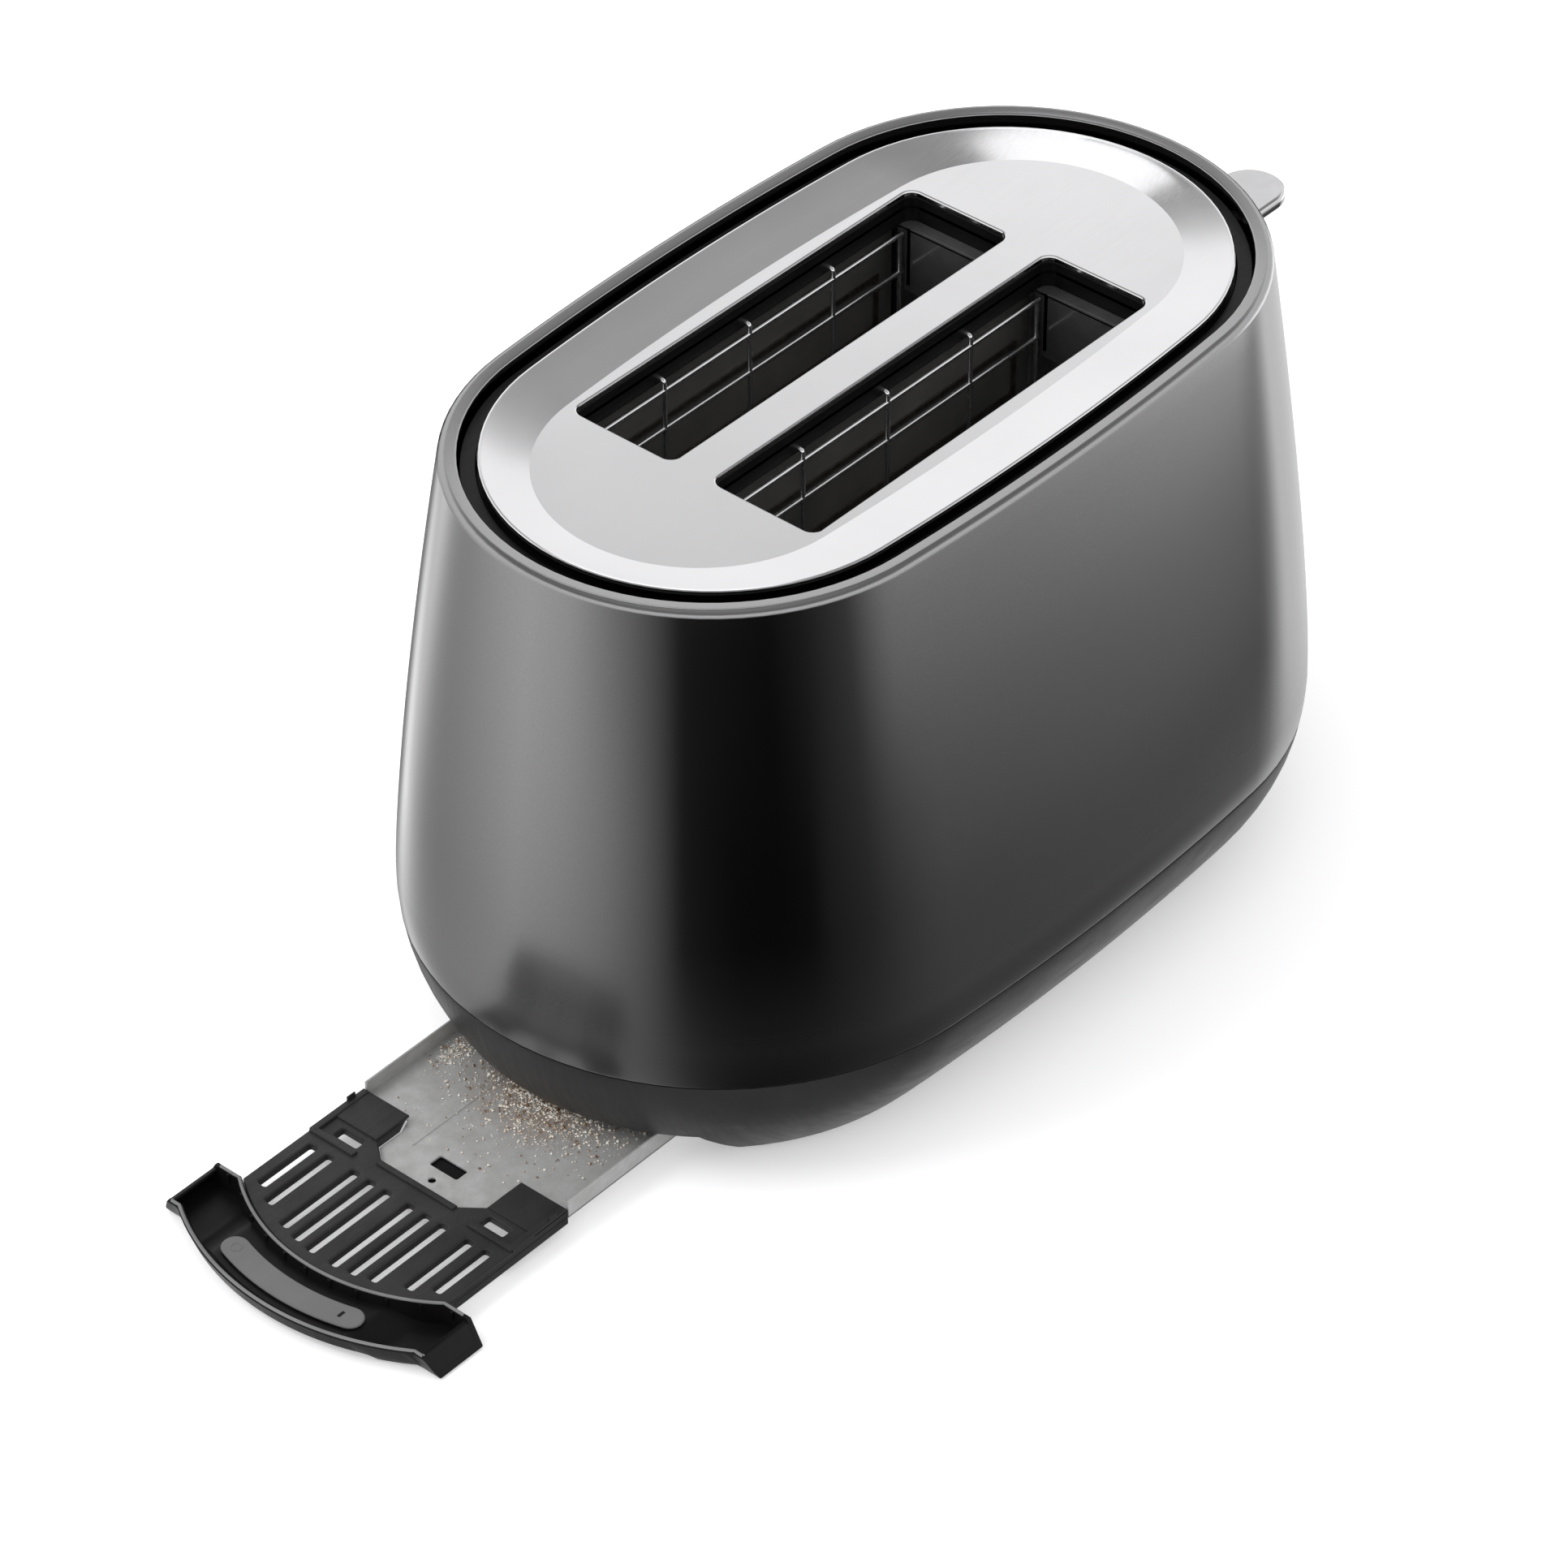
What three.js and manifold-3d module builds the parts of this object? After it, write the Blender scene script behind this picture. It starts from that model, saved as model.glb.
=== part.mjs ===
// A two-slot pop up toaster: a tapered oval body with a dished steel top, a pull-out crumb tray at
// one end and the lever, dial and buttons at the other. Millimetres, +Z up, +X towards the lever.
// The frame's origin is on the floor, under the middle of the whole object with its tray pulled out.
import * as THREE from "three";
import { mergeVertices } from "three/addons/utils/BufferGeometryUtils.js";
import Module from "manifold-3d";

const wasm = await Module();
wasm.setup();

// ---------------------------------------------------------------- driving dimensions
const GAP = 0.3; // clearance kept between neighbouring pieces

// The body's outline is an oval: round ends joined by gently bowed sides. It is widest at the
// belly, draws in towards the rim above and tucks in faster towards the floor below.
const BELLY = { halfLength: 148.8, halfWidth: 91.8, endRadius: 89.5 };
const SIDE_TAPER = 1.15; // the sides draw in this much more than the ends
const BELLY_Z = 46;
const RIM_Z = 185;
const RIM_INSET = 15.2;
const FLOOR_INSET = 18;
const SEAM_Z = 37.5; // the steel shell stands on the plastic base here
const BASE_Z = 1.5; // underside of the base, held off the floor by the feet
const SHELL_WALL = 1.6;
const LIP_WIDTH = 5.2;

// The steel top plate: an oval dish with a flat field round the slots.
const PLATE = { halfLength: 123.2, halfWidth: 64.1, endRadius: 61.9 };
const PLATE_EDGE_Z = 184;
const FIELD_Z = 181.5;
const PLATE_THICKNESS = 1.5;
const DISH_END_WIDTH = 12.2; // the sloping border between the plate's edge and its flat field
const DISH_SIDE_WIDTH = 17;

const SLOT = { length: 140, width: 35.7, corner: 3.5 };
const SLOT_Y = 24.5; // each slot's centre line

const RACK_Z = 114; // top of the bread rack with the lever up
const LEVER_TRAVEL = 75;
const LEVER_TOP_Z = 149;
const LEVER_END_X = 171.9; // centre of the knob's round end
const LEVER_END_RADIUS = 10;

const TRAY = { halfWidth: 37.4, floorZ: 5.2, flangeZ: 11, bottomZ: 3.3 };
const PAN_FRONT_X = -182;
const PAN_REAR_X = -22;
const PAN_SHEET = 0.8;
const HANDLE = { centreX: -163.5, radius: 80, ribRadius: 62, halfWidth: 46.6, footHalfWidth: 50.4 };
const GRILLE_REAR_X = -182.3;
const GRILLE_TOP_Z = 8;

const CHASSIS_X = 72; // inner face of the two upright chassis plates
const GUARD_OFFSET = 16.1; // each guard's distance from its slot's centre line
const GUARD_PIVOT_Z = 38;

// ---------------------------------------------------------------- materials
const steel = (color, roughness) => new THREE.MeshStandardMaterial({ color, roughness, metalness: 1 });
const plastic = (color, roughness) => new THREE.MeshStandardMaterial({ color, roughness, metalness: 0 });
const MATERIALS = {
  shell: new THREE.MeshStandardMaterial({ color: 0x3a3a3c, roughness: 0.25, metalness: 0.8 }),
  brushed: steel(0xc9c9cb, 0.35),
  chrome: steel(0xe4e4e6, 0.12),
  plated: steel(0xa9abad, 0.4),
  wire: steel(0xb8b8ba, 0.3),
  element: steel(0x8a7f74, 0.5),
  black: plastic(0x141415, 0.45),
  base: plastic(0x2c2c2e, 0.5),
  gloss: plastic(0x0c0c0d, 0.15),
  mica: plastic(0xb7a98c, 0.8),
  board: plastic(0x2f5b3a, 0.6),
  rubber: plastic(0x1b1b1b, 0.9),
  grip: plastic(0x6c6c6e, 0.5),
};

// ---------------------------------------------------------------- outlines
const END_STEPS = 10;
const SIDE_STEPS = 4;

// Points round an oval, anticlockwise from +X's lower tangent: two end arcs and two bowed side arcs.
function oval({ halfLength, halfWidth, endRadius }) {
  const endX = halfLength - endRadius;
  const sideRadius =
    (endX ** 2 + halfWidth ** 2 - endRadius ** 2) / (2 * (halfWidth - endRadius));
  const turn = Math.atan2(sideRadius - halfWidth, endX);
  const half = [];
  for (let i = 0; i < END_STEPS; i++) {
    const a = -turn + (2 * turn * i) / END_STEPS;
    half.push(new THREE.Vector2(endX + endRadius * Math.cos(a), endRadius * Math.sin(a)));
  }
  for (let i = 0; i < SIDE_STEPS; i++) {
    const a = turn + ((Math.PI - 2 * turn) * i) / SIDE_STEPS;
    const y = halfWidth - sideRadius + sideRadius * Math.sin(a);
    half.push(new THREE.Vector2(sideRadius * Math.cos(a), y));
  }
  return [...half, ...half.map((p) => new THREE.Vector2(-p.x, -p.y))];
}

const grown = (o, by) => ({
  halfLength: o.halfLength + by,
  halfWidth: o.halfWidth + by,
  endRadius: o.endRadius + by,
});

// How far the body has drawn in from its belly at height z.
function insetAt(z) {
  if (z > BELLY_Z) return RIM_INSET * ((z - BELLY_Z) / (RIM_Z - BELLY_Z)) ** 1.35;
  return FLOOR_INSET * ((BELLY_Z - z) / BELLY_Z) ** 2.1;
}

// The body's outline at height z, with a wall depth measured inwards from its outer surface.
function bodyOval(z, depth) {
  const inset = insetAt(z);
  return {
    halfLength: BELLY.halfLength - inset - depth,
    halfWidth: BELLY.halfWidth - SIDE_TAPER * inset - depth,
    endRadius: BELLY.endRadius - SIDE_TAPER * inset - depth,
  };
}

const MOUTH = bodyOval(RIM_Z, LIP_WIDTH); // the opening inside the shell's lip
const FIELD = {
  halfLength: PLATE.halfLength - DISH_END_WIDTH,
  halfWidth: PLATE.halfWidth - DISH_SIDE_WIDTH,
  endRadius: PLATE.endRadius - DISH_SIDE_WIDTH,
};

// ---------------------------------------------------------------- solids
function solid(geometry) {
  const bare = new THREE.BufferGeometry();
  bare.setAttribute("position", geometry.getAttribute("position"));
  if (geometry.index) bare.setIndex(geometry.index);
  const merged = mergeVertices(bare, 1e-4);
  return new wasm.Manifold(
    new wasm.Mesh({
      numProp: 3,
      vertProperties: merged.getAttribute("position").array,
      triVerts: new Uint32Array(merged.index.array),
    }),
  );
}

const join = (...parts) => parts.reduce((a, b) => a.add(b));
const cut = (from, ...tools) => tools.reduce((a, b) => a.subtract(b), from);

function closed(positions, index) {
  const geometry = new THREE.BufferGeometry();
  geometry.setAttribute("position", new THREE.Float32BufferAttribute(positions, 3));
  geometry.setIndex(index);
  return solid(geometry);
}

// A closed profile carried round a closed outline. Each profile point is a loop of the outline's
// points; the profile runs up the outer side and down the inner side.
function ring(loops) {
  const count = loops[0].points.length;
  const positions = loops.flatMap(({ z, points }) => points.flatMap((p) => [p.x, p.y, z]));
  const index = [];
  loops.forEach((_, i) => {
    const next = (i + 1) % loops.length;
    for (let j = 0; j < count; j++) {
      const k = (j + 1) % count;
      const [a, b, c, d] = [i * count + j, i * count + k, next * count + k, next * count + j];
      index.push(a, b, c, a, c, d);
    }
  });
  return closed(positions, index);
}

const bodyLoop = (z, depth) => ({ z, points: oval(bodyOval(z, depth)) });

// The full body between two heights, shrunk by a depth, as one block.
function bodyBlock(levels, depth) {
  const loops = levels.map((z) => bodyLoop(z, depth));
  const count = loops[0].points.length;
  const positions = loops.flatMap(({ z, points }) => points.flatMap((p) => [p.x, p.y, z]));
  const low = positions.length / 3;
  positions.push(0, 0, levels[0], 0, 0, levels[levels.length - 1]);
  const top = (loops.length - 1) * count;
  const index = [];
  for (let j = 0; j < count; j++) {
    const k = (j + 1) % count;
    for (let i = 0; i < loops.length - 1; i++) {
      const [a, b] = [i * count + j, i * count + k];
      index.push(a, b, b + count, a, b + count, a + count);
    }
    index.push(low, k, j, low + 1, top + j, top + k);
  }
  return closed(positions, index);
}

// Box between two places on each axis, given in either order.
function box(x0, x1, y0, y1, z0, z1) {
  const size = [x1 - x0, y1 - y0, z1 - z0].map(Math.abs);
  const geometry = new THREE.BoxGeometry(...size);
  geometry.translate((x0 + x1) / 2, (y0 + y1) / 2, (z0 + z1) / 2);
  return solid(geometry);
}

// Upright prism of a flat outline, with any holes.
function prism(shape, z0, z1, curveSegments = 8) {
  const geometry = new THREE.ExtrudeGeometry(shape, {
    depth: z1 - z0,
    bevelEnabled: false,
    curveSegments,
  });
  geometry.translate(0, 0, z0);
  return solid(geometry);
}

// Round bar along X, Y or Z, between two places on that axis, centred on the other two coordinates.
function bar(axis, radius, from, to, u, v, sides = 12) {
  const geometry = new THREE.CylinderGeometry(radius, radius, to - from, sides);
  const middle = (from + to) / 2;
  if (axis === "x") geometry.rotateZ(-Math.PI / 2).translate(middle, u, v);
  if (axis === "y") geometry.translate(u, middle, v);
  if (axis === "z") geometry.rotateX(Math.PI / 2).translate(u, v, middle);
  return solid(geometry);
}

function rectangle(u0, u1, v0, v1) {
  const [low, high] = [Math.min(v0, v1), Math.max(v0, v1)];
  return new THREE.Shape([
    new THREE.Vector2(u0, low),
    new THREE.Vector2(u1, low),
    new THREE.Vector2(u1, high),
    new THREE.Vector2(u0, high),
  ]);
}

function roundedRectangle(u0, u1, v0, v1, r) {
  const shape = new THREE.Shape();
  shape.absarc(u1 - r, v0 + r, r, -Math.PI / 2, 0);
  shape.absarc(u1 - r, v1 - r, r, 0, Math.PI / 2);
  shape.absarc(u0 + r, v1 - r, r, Math.PI / 2, Math.PI);
  shape.absarc(u0 + r, v0 + r, r, Math.PI, 1.5 * Math.PI);
  shape.closePath();
  return shape;
}

// Prism along +X of an outline drawn in the YZ plane.
function prismAlongX(shape, x0, x1, curveSegments = 6) {
  const geometry = new THREE.ExtrudeGeometry(shape, {
    depth: x1 - x0,
    bevelEnabled: false,
    curveSegments,
  });
  geometry.rotateZ(Math.PI / 2).rotateY(Math.PI / 2).translate(x0, 0, 0);
  return solid(geometry);
}

const toaster = new THREE.Group();

function piece(name, made, material, group = toaster) {
  const { vertProperties, triVerts } = made.getMesh();
  const geometry = new THREE.BufferGeometry();
  geometry.setAttribute("position", new THREE.BufferAttribute(vertProperties, 3));
  geometry.setIndex(new THREE.BufferAttribute(triVerts, 1));
  geometry.computeVertexNormals();
  const mesh = new THREE.Mesh(geometry, material);
  mesh.name = name;
  group.add(mesh);
}

// ---------------------------------------------------------------- shell, top and base
const FASCIA = { halfWidth: 38, low: 42, high: 166, corner: 9, proud: 0.8, depth: 1.7 };

const fasciaOutline = (grow) =>
  roundedRectangle(
    -FASCIA.halfWidth - grow,
    FASCIA.halfWidth + grow,
    FASCIA.low - grow,
    FASCIA.high + grow,
    FASCIA.corner,
  );

function outerShell() {
  const levels = [SEAM_Z + GAP, 46, 66, 94, 124, 154, RIM_Z - 3];
  const lip = [
    [RIM_Z - 1, 0.5],
    [RIM_Z - 0.2, 1.6],
    [RIM_Z, 2.8],
    [RIM_Z - 0.4, LIP_WIDTH],
    [RIM_Z - 4, LIP_WIDTH],
    [RIM_Z - 5.5, SHELL_WALL],
  ];
  const loops = [
    ...levels.map((z) => bodyLoop(z, 0)),
    ...lip.map(([z, depth]) => bodyLoop(z, depth)),
    ...levels.slice(0, -1).reverse().map((z) => bodyLoop(z, SHELL_WALL)),
  ];
  return cut(ring(loops), prismAlongX(fasciaOutline(GAP), 100, 170));
}

function slotOutline(y, grow = 0) {
  const u = SLOT.length / 2 + grow;
  const v = SLOT.width / 2 + grow;
  return roundedRectangle(-u, u, y - v, y + v, SLOT.corner);
}

function topPlate() {
  const edge = (z, o) => ({ z, points: oval(o) });
  const dish = ring([
    edge(PLATE_EDGE_Z - PLATE_THICKNESS, PLATE),
    edge(PLATE_EDGE_Z, PLATE),
    edge(FIELD_Z, FIELD),
    edge(FIELD_Z, grown(FIELD, -2)),
    edge(FIELD_Z - PLATE_THICKNESS, grown(FIELD, -2)),
    edge(FIELD_Z - PLATE_THICKNESS, FIELD),
  ]);
  const field = new THREE.Shape(oval(grown(FIELD, -1)));
  field.holes.push(slotOutline(SLOT_Y), slotOutline(-SLOT_Y));
  return join(dish, prism(field, FIELD_Z - PLATE_THICKNESS, FIELD_Z, 4));
}

// The black moulding under the plate: the deep groove round it and the throats of the two slots.
const FRAME_TOP_Z = FIELD_Z - PLATE_THICKNESS - GAP;
const THROAT_Z = 171.5;
const THROAT_WALL = 1.4;
const LEDGE = { x: 66, length: 5.2, skirt: 1.5, skirtLow: 150 };

function slotThroat(y) {
  const walls = prism(slotOutline(y, THROAT_WALL), THROAT_Z, FRAME_TOP_Z, 3);
  const hollow = prism(slotOutline(y), THROAT_Z - 1, FRAME_TOP_Z + 1, 3);
  const across = [y - SLOT.width / 2 - 1, y + SLOT.width / 2 + 1];
  const ends = [-1, 1].flatMap((side) => {
    const x = LEDGE.x * side;
    return [
      box(x, x + LEDGE.length * side, ...across, THROAT_Z - LEDGE.skirt, THROAT_Z + 0.2),
      box(x, x + LEDGE.skirt * side, ...across, LEDGE.skirtLow, THROAT_Z),
    ];
  });
  return join(cut(walls, hollow), ...ends);
}

function topFrame() {
  const edge = (z, o) => ({ z, points: oval(o) });
  const outer = grown(MOUTH, -GAP);
  const rim = ring([
    edge(175, outer),
    edge(180.5, outer),
    edge(180.5, grown(PLATE, GAP)),
    edge(FRAME_TOP_Z - 2.6, grown(PLATE, GAP)),
    edge(FRAME_TOP_Z - 2.6, grown(PLATE, -1.5)),
    edge(175, grown(PLATE, -1.5)),
  ]);
  const web = new THREE.Shape(oval(grown(PLATE, 1)));
  web.holes.push(slotOutline(SLOT_Y), slotOutline(-SLOT_Y));
  return join(
    rim,
    prism(web, FRAME_TOP_Z - 4.2, FRAME_TOP_Z - 2.6, 3),
    slotThroat(SLOT_Y),
    slotThroat(-SLOT_Y),
  );
}

const SCREW = { x: 45, y: 58, shank: 1.6, head: 3.4 };
const FOOT = { x: 88, y: 50, radius: 8, stem: 3 };
const corners = (x, y) => [
  [x, y],
  [-x, y],
  [-x, -y],
  [x, -y],
];
const TRAY_OPENING = { high: 12.5, bend: 3, rearX: -94 };
const RUNNER = { inner: 38.2, outer: 41, frontX: -92, rearX: 100, high: 13.2 };
const CORD = { x: 62, z: 18, radius: 6.5, hole: 3.6 };
const BASE_WALL = 2.4;
const DECK_THICKNESS = 1.4;
const VENTS = { places: [-40, -20, 0, 20, 40], halfWidth: 2, halfLength: 24 };

function trayOpening() {
  const wide = HANDLE.footHalfWidth + 0.8;
  const narrow = HANDLE.halfWidth + 1.2;
  const outline = new THREE.Shape([
    new THREE.Vector2(-wide, -1),
    new THREE.Vector2(wide, -1),
    new THREE.Vector2(wide, TRAY_OPENING.bend),
    new THREE.Vector2(narrow, TRAY_OPENING.high),
    new THREE.Vector2(-narrow, TRAY_OPENING.high),
    new THREE.Vector2(-wide, TRAY_OPENING.bend),
  ]);
  return prismAlongX(outline, -160, TRAY_OPENING.rearX);
}

function baseMoulding() {
  const levels = [BASE_Z, 6, 12, 20, 28, SEAM_Z];
  const wall = ring([
    ...levels.map((z) => bodyLoop(z, 0)),
    ...levels.slice().reverse().map((z) => bodyLoop(z, z > BASE_Z ? BASE_WALL : BASE_WALL + 1)),
  ]);
  const deck = prism(new THREE.Shape(oval(bodyOval(BASE_Z, 2))), BASE_Z, BASE_Z + DECK_THICKNESS);
  const runners = [-1, 1].map((side) => {
    const y = [RUNNER.inner * side, RUNNER.outer * side];
    return box(RUNNER.frontX, RUNNER.rearX, ...y, BASE_Z + 0.5, RUNNER.high);
  });
  const bosses = corners(SCREW.x, SCREW.y).map(([x, y]) => bar("z", 5.2, BASE_Z, 9.7, x, y, 8));
  const cuts = [
    trayOpening(),
    ...corners(SCREW.x, SCREW.y).flatMap(([x, y]) => [
      bar("z", SCREW.head + 2 * GAP, 0, 5, x, y, 8),
      bar("z", SCREW.shank + 2 * GAP, 4, 12, x, y, 8),
    ]),
    ...corners(FOOT.x, FOOT.y).map(([x, y]) => bar("z", FOOT.stem + 2 * GAP, 0, 6, x, y, 8)),
    bar("y", CORD.radius + GAP, 60, 100, CORD.x, CORD.z),
    ...VENTS.places.map((x) =>
      box(x - VENTS.halfWidth, x + VENTS.halfWidth, -VENTS.halfLength, VENTS.halfLength, 0, 4),
    ),
  ];
  return cut(join(wall, deck, ...runners, ...bosses), ...cuts);
}

// Fastener with its head below, driven up through the base into the chassis.
const baseScrew = (x, y) =>
  join(bar("z", SCREW.head, 2, 4.7, x, y, 8), bar("z", SCREW.shank, 4.5, 16, x, y, 8));

const rubberFoot = (x, y) =>
  join(bar("z", FOOT.radius, 0, BASE_Z - GAP, x, y, 12), bar("z", FOOT.stem, 1, 5.5, x, y, 8));

const cordGland = () =>
  cut(
    bar("y", CORD.radius, 70, 85, CORD.x, CORD.z, 16),
    bar("y", CORD.hole, 65, 90, CORD.x, CORD.z, 12),
  );

// ---------------------------------------------------------------- crumb tray
// Band between two arcs about the handle's centre, ending on straight lines at its half width.
function handleBand(inner, outer, halfWidth) {
  const outerTurn = Math.asin(halfWidth / outer);
  const innerTurn = Math.asin(halfWidth / inner);
  const band = new THREE.Shape();
  band.absarc(HANDLE.centreX, 0, outer, Math.PI - outerTurn, Math.PI + outerTurn);
  band.absarc(HANDLE.centreX, 0, inner, Math.PI + innerTurn, Math.PI - innerTurn, true);
  band.closePath();
  return band;
}

const TROUGH = { bottom: 0.8, rim: 8, ribTop: 9.4, wall: 1.8, sheet: 1.6, rearX: -212 };
const GRIP = { halfWidth: 25, slope: 8, bottom: 4.2, inner: 67, outer: 75, top: 7.1 };

// A curved trough: an outer wall, a rib behind it that turns straight beyond the tray's sides, and
// end walls that flare towards the floor. Its middle is raised, which leaves room for fingertips.
function trayHandle() {
  const { radius, ribRadius, halfWidth, footHalfWidth } = HANDLE;
  const { bottom, rim, ribTop, wall, sheet, rearX } = TROUGH;
  const inner = ribRadius - sheet / 2;
  const outer = ribRadius + sheet / 2;
  const ends = [-1, 1].map((side) => {
    const end = new THREE.Shape([
      new THREE.Vector2((halfWidth - sheet) * side, rim),
      new THREE.Vector2(halfWidth * side, rim),
      new THREE.Vector2(footHalfWidth * side, bottom),
      new THREE.Vector2((halfWidth - sheet) * side, bottom),
    ]);
    return prismAlongX(end, -240, rearX);
  });
  const straight = [-1, 1].map((side) =>
    box(rearX - sheet, rearX, TRAY.halfWidth * side, (halfWidth - 1) * side, bottom, ribTop),
  );
  const { halfWidth: grip, slope, bottom: gripBottom } = GRIP;
  const scoop = new THREE.Shape([
    new THREE.Vector2(-grip - slope, bottom - 1),
    new THREE.Vector2(grip + slope, bottom - 1),
    new THREE.Vector2(grip, gripBottom),
    new THREE.Vector2(-grip, gripBottom),
  ]);
  const whole = join(
    prism(handleBand(inner, radius, halfWidth), bottom, bottom + sheet, 9),
    prism(handleBand(inner, radius, grip + slope), bottom, gripBottom + sheet, 9),
    prism(handleBand(radius - wall, radius, halfWidth), bottom, rim, 9),
    prism(handleBand(inner, outer, halfWidth), bottom, ribTop, 9),
    ...ends,
  );
  const front = box(-260, rearX, -60, 60, 0, 12).intersect(prism(handleBand(53, radius, 52), 0, 12, 9));
  return cut(join(whole.intersect(front), ...straight), prismAlongX(scoop, -260, -200));
}

const gripPad = () => {
  const low = GRIP.bottom + TROUGH.sheet + GAP;
  return prism(handleBand(GRIP.inner, GRIP.outer, GRIP.halfWidth), low, GRIP.top, 7);
};

const GRILLE_SLOTS = [4.2, 10.2, 16.2, 25.6, 32]; // distances of the slots from the centre line
const GRILLE_SHEET = 1.8;
const GRILLE_RAIL = 2; // width of the deeper rails along the carrier's sides

// Hollow under the grille, between the side rails and the front edge.
function grilleHollow() {
  const w = TRAY.halfWidth - GRILLE_RAIL;
  const front = HANDLE.ribRadius - 3;
  const turn = Math.asin(w / front);
  const outline = new THREE.Shape();
  outline.absarc(HANDLE.centreX, 0, front, Math.PI - turn, Math.PI + turn);
  outline.lineTo(GRILLE_REAR_X - GRILLE_RAIL, -w);
  outline.lineTo(GRILLE_REAR_X - GRILLE_RAIL, w);
  outline.closePath();
  return prism(outline, TRAY.bottomZ - 1, GRILLE_TOP_Z - GRILLE_SHEET, 6);
}

// The plastic carrier in front of the pan: two corner housings, a cross bar and the slatted grille.
function trayFrame() {
  const w = TRAY.halfWidth;
  const housingRear = -164.5;
  const outline = new THREE.Shape();
  outline.moveTo(housingRear, w);
  outline.lineTo(-209, w);
  const ribOuter = HANDLE.ribRadius - 0.8 - GAP;
  const turn = Math.asin(w / ribOuter);
  outline.absarc(HANDLE.centreX, 0, ribOuter, Math.PI - turn, Math.PI + turn);
  outline.lineTo(housingRear, -w);
  outline.lineTo(housingRear, -22);
  outline.lineTo(-169, -20);
  outline.lineTo(-177.5, -20);
  outline.lineTo(GRILLE_REAR_X, -14);
  outline.lineTo(GRILLE_REAR_X, 14);
  outline.lineTo(-177.5, 20);
  outline.lineTo(-169, 20);
  outline.lineTo(housingRear, 22);
  outline.closePath();
  for (const side of [-1, 1]) {
    outline.holes.push(rectangle(-183.2, -179.4, 22.7 * side, 31 * side));
    for (const place of GRILLE_SLOTS) {
      const reach = Math.sqrt((ribOuter - 3.5) ** 2 - (place + 1.3) ** 2);
      const front = HANDLE.centreX - reach;
      const slot = rectangle(front, -189.6, place * side - 1.2, place * side + 1.2);
      outline.holes.push(slot);
    }
  }
  return cut(prism(outline, TRAY.bottomZ, GRILLE_TOP_Z, 6), grilleHollow());
}

// Folded steel pan: a floor with upturned sides and rear, and a narrower tongue in front.
function crumbPan() {
  const w = TRAY.halfWidth;
  const rear = -164.2;
  const floor = new THREE.Shape([
    new THREE.Vector2(PAN_REAR_X, -w),
    new THREE.Vector2(PAN_REAR_X, w),
    new THREE.Vector2(rear, w),
    new THREE.Vector2(rear, 21.6),
    new THREE.Vector2(-168.8, 19.6),
    new THREE.Vector2(-177.4, 19.6),
    new THREE.Vector2(PAN_FRONT_X, 13.8),
    new THREE.Vector2(PAN_FRONT_X, -13.8),
    new THREE.Vector2(-177.4, -19.6),
    new THREE.Vector2(-168.8, -19.6),
    new THREE.Vector2(rear, -21.6),
    new THREE.Vector2(rear, -w),
  ]);
  floor.holes.push(rectangle(-173.3, -168.7, -5, 5));
  const hole = new THREE.Path();
  hole.absarc(-177.6, 0, 1.1, 0, 2 * Math.PI);
  floor.holes.push(hole);
  const sides = [-1, 1].map((side) =>
    box(rear, PAN_REAR_X, (w - PAN_SHEET) * side, w * side, TRAY.floorZ, TRAY.flangeZ),
  );
  return join(
    prism(floor, TRAY.floorZ, TRAY.floorZ + PAN_SHEET, 4),
    ...sides,
    box(PAN_REAR_X - PAN_SHEET, PAN_REAR_X, -w, w, TRAY.floorZ, TRAY.flangeZ),
  );
}

// ---------------------------------------------------------------- toasting chamber
const CHASSIS = { sheet: 1.2, halfWidth: 58, low: 13.5, high: 170 };

function chassisPlate(side, slits) {
  const { sheet, halfWidth, low, high } = CHASSIS;
  const plate = box(CHASSIS_X * side, (CHASSIS_X + sheet) * side, -halfWidth, halfWidth, low, high);
  const pivots = guardPlaces.map(({ y }) => bar("x", 1.5, -80, 80, y, GUARD_PIVOT_Z, 8));
  return cut(plate, ...pivots, ...slits);
}

const GUARD_WIRE = 0.8; // half the thickness of a guard's wires
const guardPlaces = [
  { name: "guard_far_outer", y: SLOT_Y + GUARD_OFFSET, wall: 1 },
  { name: "guard_far_inner", y: SLOT_Y - GUARD_OFFSET, wall: -1 },
  { name: "guard_near_inner", y: -SLOT_Y + GUARD_OFFSET, wall: 1 },
  { name: "guard_near_outer", y: -SLOT_Y - GUARD_OFFSET, wall: -1 },
];

// A cage of level wires between uprights, with hooked tops and a pivot rod along its foot.
const GUARD_LEVELS = [64, 95, 126, 157.5, 170];
const GUARD_UPRIGHTS = [-35, 0, 35];
const GUARD_HALF_LENGTH = 64.5;
const GUARD_TOP_Z = 174;

function breadGuard(y, wall) {
  const halfLength = GUARD_HALF_LENGTH;
  const w = GUARD_WIRE;
  const top = GUARD_LEVELS[GUARD_LEVELS.length - 1];
  const wires = GUARD_LEVELS.map((z) => box(-halfLength, halfLength, y - w, y + w, z - w, z + w));
  const ends = [-halfLength + w, halfLength - w];
  const posts = ends.map((x) => box(x - w, x + w, y - w, y + w, GUARD_PIVOT_Z, top + w));
  const uprights = GUARD_UPRIGHTS.map((x) =>
    box(x - w, x + w, y - w, y + w, GUARD_PIVOT_Z, GUARD_TOP_Z),
  );
  const hooks = GUARD_UPRIGHTS.map((x) =>
    box(x - w, x + w, y, y + 2 * w * wall, GUARD_TOP_Z - 1.2, GUARD_TOP_Z),
  );
  const pivot = bar("x", 1.1, -75, 75, y, GUARD_PIVOT_Z, 8);
  return join(pivot, ...posts, ...uprights, ...hooks, ...wires);
}

const HEATER = { halfLength: 70.5, low: 30, high: 165, thickness: 1.2, farY: 49.8 };

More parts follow.
